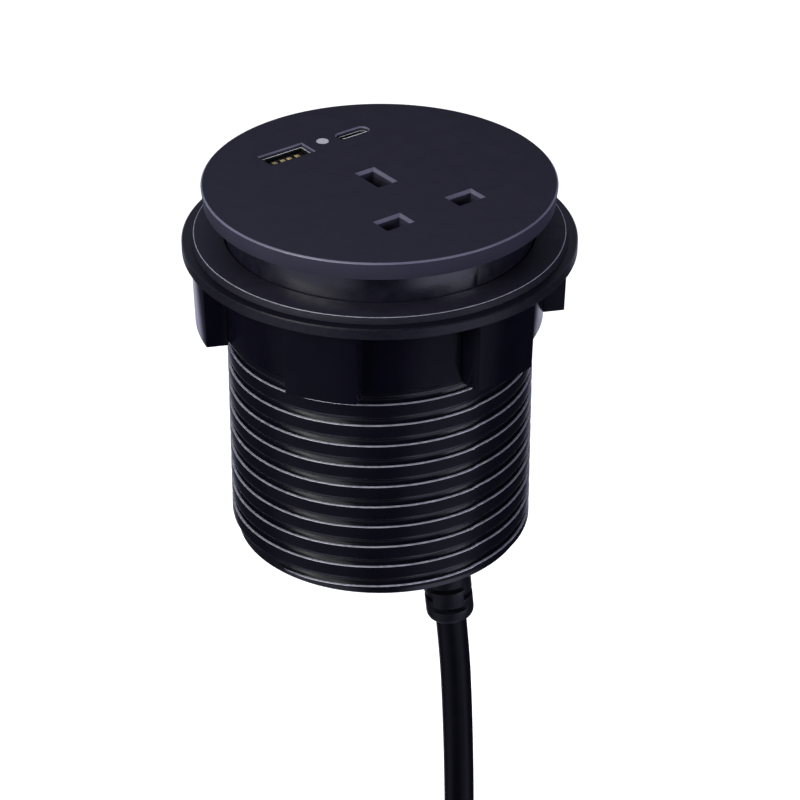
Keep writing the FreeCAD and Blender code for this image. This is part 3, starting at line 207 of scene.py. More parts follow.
def turned(chain, steps=TURN_STEPS, climb=0.0, turns=1):
    """Turns an outline about Z, climbing by millimetres at each turn."""
    apply(chain, "SCREW", axis="Z", angle=math.tau, screw_offset=climb * MM, iterations=turns, steps=steps,
          render_steps=steps, use_merge_vertices=True, merge_threshold=1e-6)
    weld(chain)


def pick(piece, kind, test):
    """Selects vertices, edges or faces in edit mode by a test of their places in millimetres."""
    activate(piece)
    bpy.ops.object.mode_set(mode="EDIT")
    bpy.ops.mesh.select_mode(type=kind)
    bpy.ops.mesh.select_all(action="DESELECT")
    mesh = bmesh.from_edit_mesh(piece.data)
    items = mesh.verts if kind == "VERT" else mesh.edges if kind == "EDGE" else mesh.faces
    for item in items:
        if kind == "VERT":
            chosen = test(item.co / MM)
        elif kind == "EDGE":
            chosen = test(item.verts[0].co / MM, item.verts[1].co / MM)
        else:
            chosen = test(item.calc_center_median() / MM, item.normal)
        if chosen:
            item.select_set(True)
    mesh.select_flush_mode()
    bmesh.update_edit_mesh(piece.data)


def pick_rings(piece, *heights):
    """Selects the edges that lie level at heights in millimetres."""
    pick(piece, "EDGE", lambda a, b: any(abs(a.z - z) < NEAR and abs(b.z - z) < NEAR for z in heights))


def slice_off(piece, height, above):
    """Cuts a piece level at a height and drops what is above or below it."""
    activate(piece)
    bpy.ops.object.mode_set(mode="EDIT")
    bpy.ops.mesh.select_all(action="SELECT")
    bpy.ops.mesh.bisect(plane_co=(0, 0, height * MM), plane_no=(0, 0, 1), threshold=1e-7,
                        clear_outer=above, clear_inner=not above)
    bpy.ops.object.mode_set(mode="OBJECT")


def run_out(piece, height, step, radius):
    """Extrudes the ring at a height by a step, and draws its end to a radius, so that a thread fades out."""
    pick_rings(piece, height)
    bpy.ops.mesh.extrude_edges_move(TRANSFORM_OT_translate={"value": (0, 0, step * MM)})
    bpy.ops.object.mode_set(mode="OBJECT")
    group = piece.vertex_groups.new(name="ring")
    ends = [v.index for v in piece.data.vertices if abs(v.co.z / MM - height - step) < NEAR]
    group.add(ends, 1.0, "REPLACE")
    apply(piece, "CAST", cast_type="CYLINDER", factor=1.0, size=radius * MM, use_z=False, vertex_group="ring",
          use_radius_as_size=False)
    piece.vertex_groups.clear()


def raise_ring(before, after):
    """Extrudes the selected ring from one radius and height to the next."""
    bpy.ops.mesh.extrude_edges_move(TRANSFORM_OT_translate={"value": (0, 0, (after[1] - before[1]) * MM)})
    share = after[0] / before[0]
    bpy.ops.transform.resize(value=(share, share, 1), center_override=(0, 0, 0))


def radius_of(point):
    """Gives how far a point lies from the axis."""
    return math.hypot(point.x, point.y)


def smooth(piece, degrees):
    """Shades a piece smooth where its faces meet at less than an angle."""
    activate(piece)
    bpy.ops.object.shade_smooth_by_angle(angle=math.radians(degrees))


def finish(piece, body, finish_of, look, *nodes):
    """Gives a piece its body, its material and the nodes that it stands for."""
    piece.data.materials.clear()
    piece.data.materials.append(look)
    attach(piece, body)
    if nodes:
        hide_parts(*nodes)


def paint(piece, look, test):
    """Gives the faces that pass a test of their middle and normal a second material.

    A normal's z is 1 on a face that looks straight up, and 0 on an upright one.
    """
    pick(piece, "FACE", test)
    piece.data.materials.append(look)
    piece.active_material_index = len(piece.data.materials) - 1
    bpy.ops.object.material_slot_assign()
    bpy.ops.object.mode_set(mode="OBJECT")


# Materials

def linear(colour):
    """Turns an sRGB hex colour to linear values."""
    parts = [int(colour[i:i + 2], 16) / 255 for i in (1, 3, 5)]
    return [p / 12.92 if p <= 0.04045 else ((p + 0.055) / 1.055) ** 2.4 for p in parts] + [1.0]


def add(tree, kind, inputs, **settings):
    """Adds a node, with its settings, its values and its links from other nodes' outputs."""
    made = tree.nodes.new(kind)
    for name, setting in settings.items():
        setattr(made, name, setting)
    for name, given in inputs.items():
        if isinstance(given, bpy.types.NodeSocket):
            tree.links.new(given, made.inputs[name])
        else:
            made.inputs[name].default_value = given
    return made


# The noise seldom leaves this range, and the roughness drifts by this share over it
NOISE_LOW = 0.3
NOISE_HIGH = 0.7
GLOSS_DRIFT = 0.12


def moulded(name, dark, light, roughness, grain_mm, depth_mm, specular=0.5, metallic=0.0, patch_mm=6.0):
    """Makes a surface whose colour and gloss drift in soft patches, over a grain of fine bumps.

    The patches and the grain have their size in millimetres, and the bumps their depth. A real grain of
    0.05 to 0.1 mm would be lost in the render, so it is drawn at 0.3 mm or more.
    """
    material = bpy.data.materials.new(name)
    material.use_nodes = True
    tree = material.node_tree
    tree.nodes.clear()
    place = add(tree, "ShaderNodeTexCoord", {})
    patches = add(tree, "ShaderNodeTexNoise", {
        "Vector": place.outputs["Object"], "Scale": 1 / (patch_mm * MM), "Detail": 3.0})
    colour = add(tree, "ShaderNodeMix", {
        "Factor": patches.outputs["Fac"], "A": linear(dark), "B": linear(light)}, data_type="RGBA")
    sheen = add(tree, "ShaderNodeMapRange", {
        "Value": patches.outputs["Fac"], "From Min": NOISE_LOW, "From Max": NOISE_HIGH,
        "To Min": roughness * (1 - GLOSS_DRIFT), "To Max": roughness * (1 + GLOSS_DRIFT)})
    grain = add(tree, "ShaderNodeTexNoise", {
        "Vector": place.outputs["Object"], "Scale": 1 / (grain_mm * MM), "Detail": 2.0})
    relief = add(tree, "ShaderNodeBump", {
        "Height": grain.outputs["Fac"], "Strength": 1.0, "Distance": depth_mm * MM})
    shader = add(tree, "ShaderNodeBsdfPrincipled", {
        "Base Color": colour.outputs[2], "Roughness": sheen.outputs["Result"],
        "Normal": relief.outputs["Normal"], "Metallic": metallic, "Specular IOR Level": specular})
    add(tree, "ShaderNodeOutputMaterial", {"Surface": shader.outputs["BSDF"]})
    return material


# Spark-eroded ABS of the cover: matt and faintly blue, with no highlight and its grain just seen
ABS_MATT = moulded("spark_eroded_abs", "#23222E", "#262532", 0.6, 0.35, 0.02, specular=0.1)
# The same ABS on the edge of the rim and the holes: a paler line with a sheen, the paleness a painted
# highlight
ABS_EDGE_HIGHLIGHT = moulded("abs_edge_painted_highlight", "#4A4959", "#585768", 0.38, 0.35, 0.005, specular=0.5)
# Nylon from a polished tool, on the barrel: near black, with long highlights that waver slowly
NYLON = moulded("polished_black_nylon", "#05050C", "#090811", 0.22, 9.0, 0.05, specular=0.62)
# The thread's lands, rubbed by the nut: still dark, but without the barrel's bright highlights
NYLON_LAND = moulded("dulled_nylon_land", "#05050C", "#0A0912", 0.3, 1.5, 0.02, specular=0.1)
# The washer's slanted side, rubbed by the desk top: dull and a little patchy
NYLON_DULL = moulded("dull_black_nylon", "#0A0A12", "#191822", 0.6, 0.6, 0.02, specular=0.1, patch_mm=2.5)
# The nut's lugs and sleeve: the darkest faces, which shine only where they are seen edge on
NYLON_NUT = moulded("moulded_black_nylon", "#05050C", "#090811", 0.13, 3.0, 0.02, specular=0.06)
# Nylon left satin by the mould, on the washer: an even dark grey with a wide, faint sheen
NYLON_SATIN = moulded("satin_black_nylon", "#15141E", "#1F1E2A", 0.5, 0.6, 0.02, specular=0.15, patch_mm=2.5)
# The nut's flange, handled: black with fine greyer speckles
NYLON_SPECKLED = moulded("speckled_black_nylon", "#04040A", "#16151F", 0.36, 0.5, 0.02, specular=0.25,
                         patch_mm=0.7)
# The neck, which the worktop rubs: glossy, with cloudy smears in the gloss
NYLON_SMEARED = moulded("smeared_black_nylon", "#06060D", "#14131E", 0.22, 0.8, 0.02, specular=0.9,
                        patch_mm=2.5)
# Nylon edges on the thread and the washer: a thin, pale and broken line, partly worn skin and partly a
# painted highlight
NYLON_EDGE_WEAR_AND_HIGHLIGHT = moulded("nylon_edge_wear_and_painted_highlight", "#2E2E39", "#9E9EAA", 0.35, 0.8, 0.03, specular=0.9, patch_mm=1.1)
# Extruded PVC of the mains lead: smooth and black, with one soft highlight along it
PVC_SHEATH = moulded("extruded_black_pvc", "#030308", "#06060C", 0.36, 5.0, 0.04, specular=0.12)
# Moulded soft PVC of the strain reliefs: a little duller and greyer than the lead
PVC_SOFT = moulded("moulded_soft_pvc", "#06060D", "#0A0A12", 0.42, 0.5, 0.01, specular=0.22)
# Moulded PBT of the shutter, the carrier and other small pieces: plain matt black, so that holes look deep
PBT_BLACK = moulded("moulded_pbt", "#08080A", "#0D0D0F", 0.5, 0.4, 0.01, specular=0.3)
# Pressed phenolic of the plug: hard and dark, a little less glossy than the barrel
PHENOLIC = moulded("phenolic_plug_body", "#0D0D0F", "#131315", 0.32, 0.8, 0.01)
# Liquid crystal polymer of the header between the boards: a flat cream
LCP_CREAM = moulded("cream_liquid_crystal_polymer", "#B3A98A", "#C9C0A2", 0.45, 0.3, 0.005)
# Frosted polycarbonate of the lamp's lens: pale and milky, with a fine mottle
LENS = moulded("frosted_polycarbonate", "#85858F", "#DCDDE6", 0.35, 0.4, 0.006, patch_mm=0.8)
# Nickel-plated steel of the port shells, its colour darkened as painted shade for the dark port that it
# mirrors
NICKEL_PAINTED_SHADE = moulded("nickel_with_painted_shade", "#46464A", "#5C5C60", 0.3, 0.3, 0.003, metallic=0.95)
# The shells' mouths: a thin bright line round the dark port, which is a painted highlight
NICKEL_RIM_HIGHLIGHT = moulded("nickel_rim_painted_highlight", "#CFCFD4", "#F2F2F4", 0.3, 0.3, 0.003, metallic=0.2)
# Zinc plate of the screws and the spring: bright, cool grey, with soft mirror images
STEEL_ZINC = moulded("bright_zinc_plate", "#9EA0A2", "#B6B8BA", 0.32, 0.4, 0.004, metallic=1.0)
# Rolled brass of the contacts and pins: warm yellow, with slightly blurred mirror images
BRASS = moulded("rolled_brass", "#A98A4E", "#BD9C5B", 0.3, 0.5, 0.004, metallic=1.0)
# Gold flash over the port's sprung strips: pale yellow, bright enough to show inside the dark port
GOLD = moulded("gold_flash", "#D9C27E", "#EAD79B", 0.35, 0.3, 0.002, metallic=0.5)
# Solder mask of the boards: deep green with a lacquer's gloss
SOLDER_MASK = moulded("green_solder_mask", "#0E3A1E", "#124826", 0.3, 0.6, 0.004)
# Shrink sleeve of the capacitors: dark blue and shiny
SLEEVE_BLUE = moulded("shrink_sleeve", "#101A30", "#16223C", 0.3, 1.0, 0.004)
# Glazed ceramic of the fuse: off-white with a soft shine
CERAMIC = moulded("fuse_ceramic", "#C9C4B6", "#D8D4C8", 0.35, 0.5, 0.004)
# PVC of the live core: plain brown with a waxy shine
CORE_BROWN = moulded("brown_pvc", "#4A2A16", "#56331C", 0.38, 1.0, 0.005)
# PVC of the neutral core: plain blue with a waxy shine
CORE_BLUE = moulded("blue_pvc", "#1B3F8C", "#214A9C", 0.38, 1.0, 0.005)
# PVC of the earth core: green that turns to yellow in patches of 3 mm
CORE_GREEN = moulded("green_and_yellow_pvc", "#3F7A2A", "#B9B33A", 0.38, 1.0, 0.005, patch_mm=3.0)


# The strain relief's place, and where the lead leaves it
CORD_RADIUS = 4.1
RELIEF_PLACE = (-0.8, -29.4, BARREL_FOOT)
RELIEF_RADIUS = 6.3
RELIEF_LENGTH = 15.9
RELIEF_TILT = math.radians(5.4)
RELIEF_LEAN = math.radians(-36.95)
RELIEF_END = (RELIEF_PLACE[0] + RELIEF_LENGTH * math.sin(RELIEF_TILT) * math.cos(RELIEF_LEAN),
              RELIEF_PLACE[1] + RELIEF_LENGTH * math.sin(RELIEF_TILT) * math.sin(RELIEF_LEAN),
              RELIEF_PLACE[2] - RELIEF_LENGTH * math.cos(RELIEF_TILT))

# The mains lead: the part's own route, then the coil's turns, then the run to the plug
ROUTE = [RELIEF_END, (1.268, -30.955, -122.678), (1.9, -31.45, -138.0), (2.6, -31.8, -162.0),
         (3.4, -31.6, -196.6), (-3.9, -31.6, -214.2), (-17.3, -31.4, -227.6), (-34.9, -31.2, -234.95)]
COIL_CENTRE = (-62.0, -85.0)
COIL_LOW = -234.95
COIL_RISE = 9.6
COIL_INNER = 33.0
COIL_STEP = 10.4
TURNS_IN = 2
TURNS_CLIMBING = 0.5
TURNS_OUT = 2
POINTS_PER_TURN = 12
TAIL = [(-50.5, -139.4, -225.35), (-43.5, -138.8, -225.35), (-37.0, -138.8, -225.35)]


def coil_points():
    """Winds inwards two turns, climbs in half a turn, and winds out again, as control points."""
    # A control point lies outside the curve that it draws, so the points are spread
    spread = 1 / (0.75 + 0.25 * math.cos(math.tau / POINTS_PER_TURN))
    climbed = TURNS_IN + TURNS_CLIMBING
    points = []
    for number in range(int((climbed + TURNS_OUT) * POINTS_PER_TURN) + 1):
        turns = number / POINTS_PER_TURN
        radius = COIL_INNER + COIL_STEP * (max(0, TURNS_IN - turns) + max(0, turns - climbed))
        climb = min(1, max(0, (turns - TURNS_IN) / TURNS_CLIMBING))
        angle = math.radians(90) + math.tau * turns
        points.append((COIL_CENTRE[0] + radius * spread * math.cos(angle),
                       COIL_CENTRE[1] + radius * spread * math.sin(angle), COIL_LOW + COIL_RISE * climb))
    return points


def make_cord():
    """Lays the lead as one smooth spline, gives it its material and body, and hides the nodes it stands for.
    """
    curve = bpy.data.curves.new("mains_lead", "CURVE")
    curve.dimensions = "3D"
    curve.bevel_depth = CORD_RADIUS * MM
    curve.bevel_resolution = 7
    curve.use_fill_caps = True
    spline = curve.splines.new("NURBS")
    points = ROUTE + coil_points() + TAIL
    spline.points.add(len(points) - 1)
    for point, (x, y, z) in zip(spline.points, points):
        point.co = (x * MM, y * MM, z * MM, 1.0)
    spline.order_u = 3
    spline.use_endpoint_u = True
    spline.resolution_u = 10
    lead = bpy.data.objects.new("mains_lead", curve)
    bpy.context.scene.collection.objects.link(lead)
    finish(lead, "module", "cord_sheath", PVC_SHEATH, "cord", "cord_coil")


# The strain relief: a sleeve with a rounded end and three rows of slots
RELIEF_TIP = 2.4
RELIEF_STUB = 2.0
RELIEF_STEPS = 72
SLOT_ROWS = 3
SLOT_START = 4.2
SLOT_SPACING = 3.05
SLOT_HEIGHT = 1.45
SLOT_LENGTH = 10.0
RELIEF_ROUND = 0.22
# Above the barrel's foot: a neck that goes through the base cover, and a head that holds it there
NECK_STEPS = 48
NECK_OUTLINE = [(0, -0.5), (5.0, -0.5), (5.0, 2.9), (5.4, 2.9), (5.4, 5.4), (0, 5.4)]


def cut_slots(relief):
    """Cuts two facing slots in each row, each row a quarter turn on from the last."""
    size = (RELIEF_RADIUS, SLOT_LENGTH, SLOT_HEIGHT)
    for row in range(SLOT_ROWS):
        depth = SLOT_START + SLOT_SPACING * row + SLOT_HEIGHT / 2
        for side in (0, 180):
            slot = block(size, (CORD_RADIUS + RELIEF_RADIUS / 2, 0, -depth))
            turn(slot, RELIEF_LEAN + math.radians(90 * (row % 2) + side + 90))
            combine(relief, slot, "DIFFERENCE")


def make_relief():
    """Turns the sleeve, cuts its slots, leans it, trims it level with the barrel's foot and adds its neck."""
    round_end = arc((RELIEF_RADIUS - RELIEF_TIP, RELIEF_TIP - RELIEF_LENGTH), RELIEF_TIP, RELIEF_TIP,
                    (0, -18, -36, -54, -72, -90))
    relief = outline("slotted_relief", [(0, RELIEF_STUB), (RELIEF_RADIUS, RELIEF_STUB)] + round_end
                     + [(0, -RELIEF_LENGTH)], closed=False)
    turned(relief, steps=RELIEF_STEPS)
    cut_slots(relief)
    bevel(relief, RELIEF_ROUND, 2, 40)
    axis = Vector((math.cos(RELIEF_LEAN), math.sin(RELIEF_LEAN), 0)).cross(Vector((0, 0, 1)))
    place = Vector(RELIEF_PLACE) * MM
    relief.matrix_world = Matrix.Translation(place) @ Matrix.Rotation(RELIEF_TILT, 4, axis)
    settle(relief)
    bpy.ops.object.mode_set(mode="EDIT")
    bpy.ops.mesh.select_all(action="SELECT")
    bpy.ops.mesh.bisect(plane_co=place, plane_no=(0, 0, 1), threshold=1e-7, clear_outer=True, use_fill=True)
    bpy.ops.object.mode_set(mode="OBJECT")
    neck = outline("relief_neck", NECK_OUTLINE, closed=False)
    turned(neck, steps=NECK_STEPS)
    neck.location = place
    settle(neck)
    combine(relief, neck, "UNION")
    smooth(relief, 30)
    finish(relief, "module", "soft_plastic", PVC_SOFT, "strain_relief")


# The barrel's tube: its neck, the seat that carries the cover, its bore and its foot
NECK_RADIUS = 39.4
NECK_FILLET = 0.3
SEAT_RADIUS = 33.5
SEAT_FOOT = -3.0
BORE_RADIUS = 35.5
FOOT_RADIUS = 36.8
FOOT_CHAMFER = 0.4
# The neck's smears lie between these heights
SMEAR_TOP = -0.2
SMEAR_FOOT = -10.0

# The thread's outline: a land, a soft corner, a groove and a ledge
CREST_RADIUS = 39.5
ROOT_RADIUS = 38.0
THREAD_TOP = -10.5
THREAD_FOOT = -92.6
TOP_RUN_OUT = 0.4
FOOT_RUN_OUT = 0.9
PITCH = 6.0
# A crest's upper edge on the +X side, without the parting step, and the turns wound below it and in all
CREST_HEIGHT = -35.85
TURNS_BELOW = 11
TURNS = 17
LAND = 3.3
GROOVE = 1.65
CORNER_WIDTH = 1.1
CORNER_HEIGHT = 1.05
# How far the ledge lies above its outer edge, at its root and where its pale strip starts, painted as wear
# and highlight
LEDGE_RISE_ROOT = 0.1
LEDGE_RISE_PALE_STRIP = 0.03
PALE_STRIP_DEPTH = 0.55
EDGE_ROUND = 0.22
# The land's faces lie within this depth of the crest's radius
LAND_DEPTH = 0.08
# The mould's halves meet at this X, and the half beyond it is a little higher
PARTING_PLACE = 0.01
PARTING_STEP = 0.25
# The mould's ridge on each side of the neck: its size, how deep its middle lies, and its height
RIDGE_SIZE = (0.55, 1.0, 7.6)
RIDGE_SINK = 0.37
RIDGE_HEIGHT = -4.9
RIDGE_ROUND = 0.08


def wind_thread():
    """Winds one pitch of the thread's outline up the barrel, and shifts one half of the mould."""
    points = [(CREST_RADIUS, -EDGE_ROUND)]
    points += arc((CREST_RADIUS - CORNER_WIDTH, -LAND), CORNER_WIDTH, CORNER_HEIGHT, (0, -22, -45, -68))
    points += [(ROOT_RADIUS, GROOVE - PITCH), (ROOT_RADIUS, LEDGE_RISE_ROOT - PITCH),
               (CREST_RADIUS - PALE_STRIP_DEPTH, LEDGE_RISE_PALE_STRIP - PITCH)]
    points += arc((CREST_RADIUS - EDGE_ROUND, -PITCH - EDGE_ROUND), EDGE_ROUND, EDGE_ROUND,
                  (90, 67.5, 45, 22.5, 0))
    lowest = CREST_HEIGHT - TURNS_BELOW * PITCH
    barrel = outline("threaded_tube", [(radius, lowest + z) for radius, z in points], closed=False)
    turned(barrel, climb=PITCH, turns=TURNS)
    pick(barrel, "VERT", lambda v: v.x > PARTING_PLACE)
    bpy.ops.transform.translate(value=(0, 0, PARTING_STEP * MM))
    return barrel


def build_tube(barrel):
    """Raises the neck and flange from the thread's top, goes down the bore, and closes the foot."""
    wall = [(NECK_RADIUS, THREAD_TOP + TOP_RUN_OUT), (NECK_RADIUS, -NECK_FILLET),
            (NECK_RADIUS + NECK_FILLET, 0), (FLANGE_RADIUS, 0), (FLANGE_RADIUS, FLANGE_TOP),
            (SEAT_RADIUS, FLANGE_TOP), (SEAT_RADIUS, SEAT_FOOT), (BORE_RADIUS, SEAT_FOOT),
            (BORE_RADIUS, COVER_TOP), (FOOT_RADIUS, COVER_TOP), (FOOT_RADIUS, BARREL_FOOT),
            (ROOT_RADIUS - FOOT_CHAMFER, BARREL_FOOT), (ROOT_RADIUS, BARREL_FOOT + FOOT_CHAMFER)]
    pick_rings(barrel, THREAD_TOP + TOP_RUN_OUT)
    for before, after in zip(wall, wall[1:]):
        raise_ring(before, after)
    pick_rings(barrel, THREAD_FOOT - FOOT_RUN_OUT, BARREL_FOOT + FOOT_CHAMFER)
    bpy.ops.mesh.bridge_edge_loops()
    weld(barrel)


def make_ridges():
    """Models the mould's parting ridge on each side of the neck."""
    ridges = []
    for side in (-1, 1):
        ridge = block(RIDGE_SIZE, (0, side * (NECK_RADIUS - RIDGE_SINK), RIDGE_HEIGHT))
        apply(ridge, "BEVEL", width=RIDGE_ROUND * MM, segments=2)
        ridges.append(ridge)
    return ridges


def make_barrel():
    """Builds the threaded tube, then paints its smeared neck, its edges pale as wear and a painted highlight,
    and its dulled lands.
    """
    barrel = wind_thread()
    slice_off(barrel, THREAD_TOP, above=True)
    slice_off(barrel, THREAD_FOOT, above=False)
    run_out(barrel, THREAD_TOP, TOP_RUN_OUT, NECK_RADIUS)
    run_out(barrel, THREAD_FOOT, -FOOT_RUN_OUT, ROOT_RADIUS)
    build_tube(barrel)
    for ridge in make_ridges():
        combine(barrel, ridge, "UNION")
    smooth(barrel, 30)
    finish(barrel, "module", "barrel_plastic", NYLON, "threaded_barrel")
    paint(barrel, NYLON_SMEARED, lambda middle, normal: SMEAR_FOOT < middle.z < SMEAR_TOP
          and radius_of(middle) > BORE_RADIUS + 1)
    # The thread's upper edges: pale as wear and a painted highlight
    paint(barrel, NYLON_EDGE_WEAR_AND_HIGHLIGHT, lambda middle, normal: normal.z > 0.25
          and THREAD_FOOT < middle.z < THREAD_TOP
          and CREST_RADIUS - PALE_STRIP_DEPTH < radius_of(middle) < CREST_RADIUS)
    paint(barrel, NYLON_LAND, lambda middle, normal: abs(normal.z) < 0.1
          and THREAD_FOOT < middle.z < THREAD_TOP and radius_of(middle) > CREST_RADIUS - LAND_DEPTH)


# The clamp: a washer with a slanted side, and a flanged nut with drafted lugs
NUT_BORE = 39.8
WASHER_TOP_RADIUS = 47.2
WASHER_ROUND = 0.12
FLANGE_DEPTH = 3.0
FLANGE_CHAMFER = 0.3
SLEEVE_RADIUS = 42.0
SLEEVE_FILLET = 0.5
# The sleeve's foot is rounded by this much, through a middle point this far in from both sides
SLEEVE_TOE = 1.0
TOE_MIDDLE = 0.3
LUG_ANGLES = [-24.8 + 60 * number for number in range(6)]
LUG_HALF_WIDTH = 9.5
LUG_INSIDE = 41.0
LUG_OUTSIDE = 50.0
# The lugs end this far below the nut's top, inside its flange
LUG_SINK = 1.5
# A lug's width at its foot, as a share of its width at the top
LUG_TAPER = 0.97
# The lugs' outer radii just under the flange and at the foot, cut by a cone that reaches beyond both ends
LUG_TOP_RADIUS = 48.1
LUG_FOOT_RADIUS = 47.5
CONE_STEPS = 360
CONE_MARGIN = 1.0
LUG_ROUND = 0.6


def make_washer():
    """Turns the washer, then paints its upper edge pale as wear and a painted highlight, and its dull slanted
    side.
    """
    ring = outline("ring_washer", [(NUT_BORE, WASHER_TOP), (WASHER_TOP_RADIUS, WASHER_TOP),
                                   (WASHER_RADIUS, WASHER_FOOT), (NUT_BORE, WASHER_FOOT)])
    turned(ring)
    bevel(ring, WASHER_ROUND, 2, 30)
    smooth(ring, 35)
    finish(ring, "washer", "nut_plastic", NYLON_SATIN, "clamp_washer")
    # The washer's upper edge: pale as wear and a painted highlight
    paint(ring, NYLON_EDGE_WEAR_AND_HIGHLIGHT, lambda middle, normal: 0.5 < normal.z < 0.99 and middle.z > WASHER_TOP - 0.4
          and radius_of(middle) > WASHER_TOP_RADIUS - 1.2)
    paint(ring, NYLON_DULL, lambda middle, normal: 0.2 < normal.z < 0.5)


def trim_to_draft(lugs):
    """Trims the lugs to a cone that is narrower at the foot, so that they would leave a mould."""
    height = NUT_TOP - NUT_FOOT + 2 * CONE_MARGIN
    slope = (LUG_TOP_RADIUS - LUG_FOOT_RADIUS) / (NUT_TOP - FLANGE_DEPTH - NUT_FOOT)
    deselect()
    bpy.ops.mesh.primitive_cone_add(vertices=CONE_STEPS, depth=height * MM,
                                    radius1=(LUG_FOOT_RADIUS - slope * CONE_MARGIN) * MM,
                                    radius2=(LUG_FOOT_RADIUS + slope * (height - CONE_MARGIN)) * MM,
                                    location=(0, 0, (NUT_FOOT - CONE_MARGIN + height / 2) * MM))
    cone = bpy.context.object
    settle(cone)
    combine(lugs, cone, "INTERSECT")


def make_lugs():
    """Models the lugs as tapered blocks round the nut, trims them and rounds their edges."""
    height = NUT_TOP - LUG_SINK - NUT_FOOT
    size = (LUG_OUTSIDE - LUG_INSIDE, 2 * LUG_HALF_WIDTH, height)
    place = ((LUG_OUTSIDE + LUG_INSIDE) / 2, 0, NUT_FOOT + height / 2)
    lugs = []
    for angle in LUG_ANGLES:
        lug = block(size, place)
        pick(lug, "VERT", lambda v: v.z < NUT_FOOT + NEAR)
        bpy.ops.transform.resize(value=(1, LUG_TAPER, 1), center_override=(0, 0, 0))
        bpy.ops.object.mode_set(mode="OBJECT")
        turn(lug, math.radians(angle))
        lugs.append(lug)
    joined = join(lugs)
    trim_to_draft(joined)
    weld(joined)
    bevel(joined, LUG_ROUND, 3, 50)
    return joined


def make_nut():
    """Turns the flanged sleeve, joins the lugs to it, and paints the handled flange."""
    nut = outline("lugged_nut", [
        (NUT_BORE, NUT_TOP), (NUT_FLANGE_RADIUS - FLANGE_CHAMFER, NUT_TOP),
        (NUT_FLANGE_RADIUS, NUT_TOP - FLANGE_CHAMFER),
        (NUT_FLANGE_RADIUS, NUT_TOP - FLANGE_DEPTH + FLANGE_CHAMFER),
        (NUT_FLANGE_RADIUS - FLANGE_CHAMFER, NUT_TOP - FLANGE_DEPTH),
        (SLEEVE_RADIUS + SLEEVE_FILLET, NUT_TOP - FLANGE_DEPTH),
        (SLEEVE_RADIUS, NUT_TOP - FLANGE_DEPTH - SLEEVE_FILLET), (SLEEVE_RADIUS, NUT_FOOT + SLEEVE_TOE),
        (SLEEVE_RADIUS - TOE_MIDDLE, NUT_FOOT + TOE_MIDDLE), (SLEEVE_RADIUS - SLEEVE_TOE, NUT_FOOT),
        (NUT_BORE, NUT_FOOT)])
    turned(nut)
    combine(nut, make_lugs(), "UNION")
    weld(nut)
    smooth(nut, 30)
    finish(nut, "nut", "nut_plastic", NYLON_NUT, "lock_nut")
    paint(nut, NYLON_SPECKLED, lambda middle, normal: middle.z > NUT_TOP - FLANGE_DEPTH
          and radius_of(middle) > SLEEVE_RADIUS)


# Nodes whose own shape is right, on merged copies that can be shaded smooth
COPY_ANGLE = 30
COVER_ROUND = 0.08
# The smaller port's shell stands this much prouder at its mouth, on the near side of this Y
PORT_LINE = 25.0
PORT_LIFT = 0.85
MOUTH_DEPTH = 1.2


def smooth_copy(node, finish_of, look, edge=0.0):
    """Copies a node's mesh, merges its triangles into whole faces, rounds its edges and stands in for it."""
    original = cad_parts[node]
    copy = bpy.data.objects.new(node + "_shell", original.data.copy())
    bpy.context.scene.collection.objects.link(copy)
    weld(copy, outward=False)
    bpy.ops.object.mode_set(mode="EDIT")
    bpy.ops.mesh.select_all(action="SELECT")
    bpy.ops.mesh.dissolve_limited(angle_limit=math.radians(0.5))
    bpy.ops.object.mode_set(mode="OBJECT")
    if edge:
        bevel(copy, edge, 2, COPY_ANGLE)
    smooth(copy, COPY_ANGLE)
    pick(copy, "FACE", lambda middle, normal: abs(normal.z) > 0.9999)
    bpy.ops.mesh.faces_shade_flat()
    bpy.ops.object.mode_set(mode="OBJECT")
    finish(copy, "module", finish_of, look, node)
    return copy


def make_cover():
    """Dresses the faceplate with a painted highlight on its edges, the base cover and the lamp's lens."""
    plate = smooth_copy("faceplate", "cover_plastic", ABS_MATT, edge=COVER_ROUND)
    # The slanted edges of the rim and the holes are painted pale as a highlight
    paint(plate, ABS_EDGE_HIGHLIGHT, lambda middle, normal: middle.z > PLATE_TOP - 1.0 and 0.2 < normal.z < 0.97)
    smooth_copy("base_cover", "barrel_plastic", NYLON)
    smooth_copy("led_lens", "lens", LENS)


def make_port_shells():
    """Dresses both port shells in nickel darkened as painted shade, paints a highlight on their mouths, and
    lifts the near edge of the smaller one.
    """
    # Both shells are nickel darkened as painted shade
    larger = smooth_copy("usb_a_shell", "nickel", NICKEL_PAINTED_SHADE)
    smaller = smooth_copy("usb_c_shell", "nickel", NICKEL_PAINTED_SHADE)
    tongue_top = top_of("usb_a_tongue")
    for shell in (larger, smaller):
        # A painted highlight on the mouth of each shell
        paint(shell, NICKEL_RIM_HIGHLIGHT, lambda middle, normal: normal.z > 0.7 and middle.z > tongue_top)
    pick(smaller, "VERT", lambda v: v.z > PLATE_TOP - MOUTH_DEPTH and v.y < PORT_LINE)
    bpy.ops.transform.translate(value=(0, 0, PORT_LIFT * MM))
    bpy.ops.object.mode_set(mode="OBJECT")


def make_spring():
    """Dresses the shutter's spring and gives it a mesh of its own. The real spring shortens towards its fixed
    end as the shutter slides back.
    """
    spring = smooth_copy("shutter_spring", "steel", STEEL_ZINC)
    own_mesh(spring)


# The sprung strips of the larger port
STRIP_PLACES = (-3.5, -1.0, 1.0, 3.5)
STRIP_WIDTH = 1.2
STRIP_THICKNESS = 0.2
STRIP_FOLD = 0.9
STRIP_ROUND = 0.04


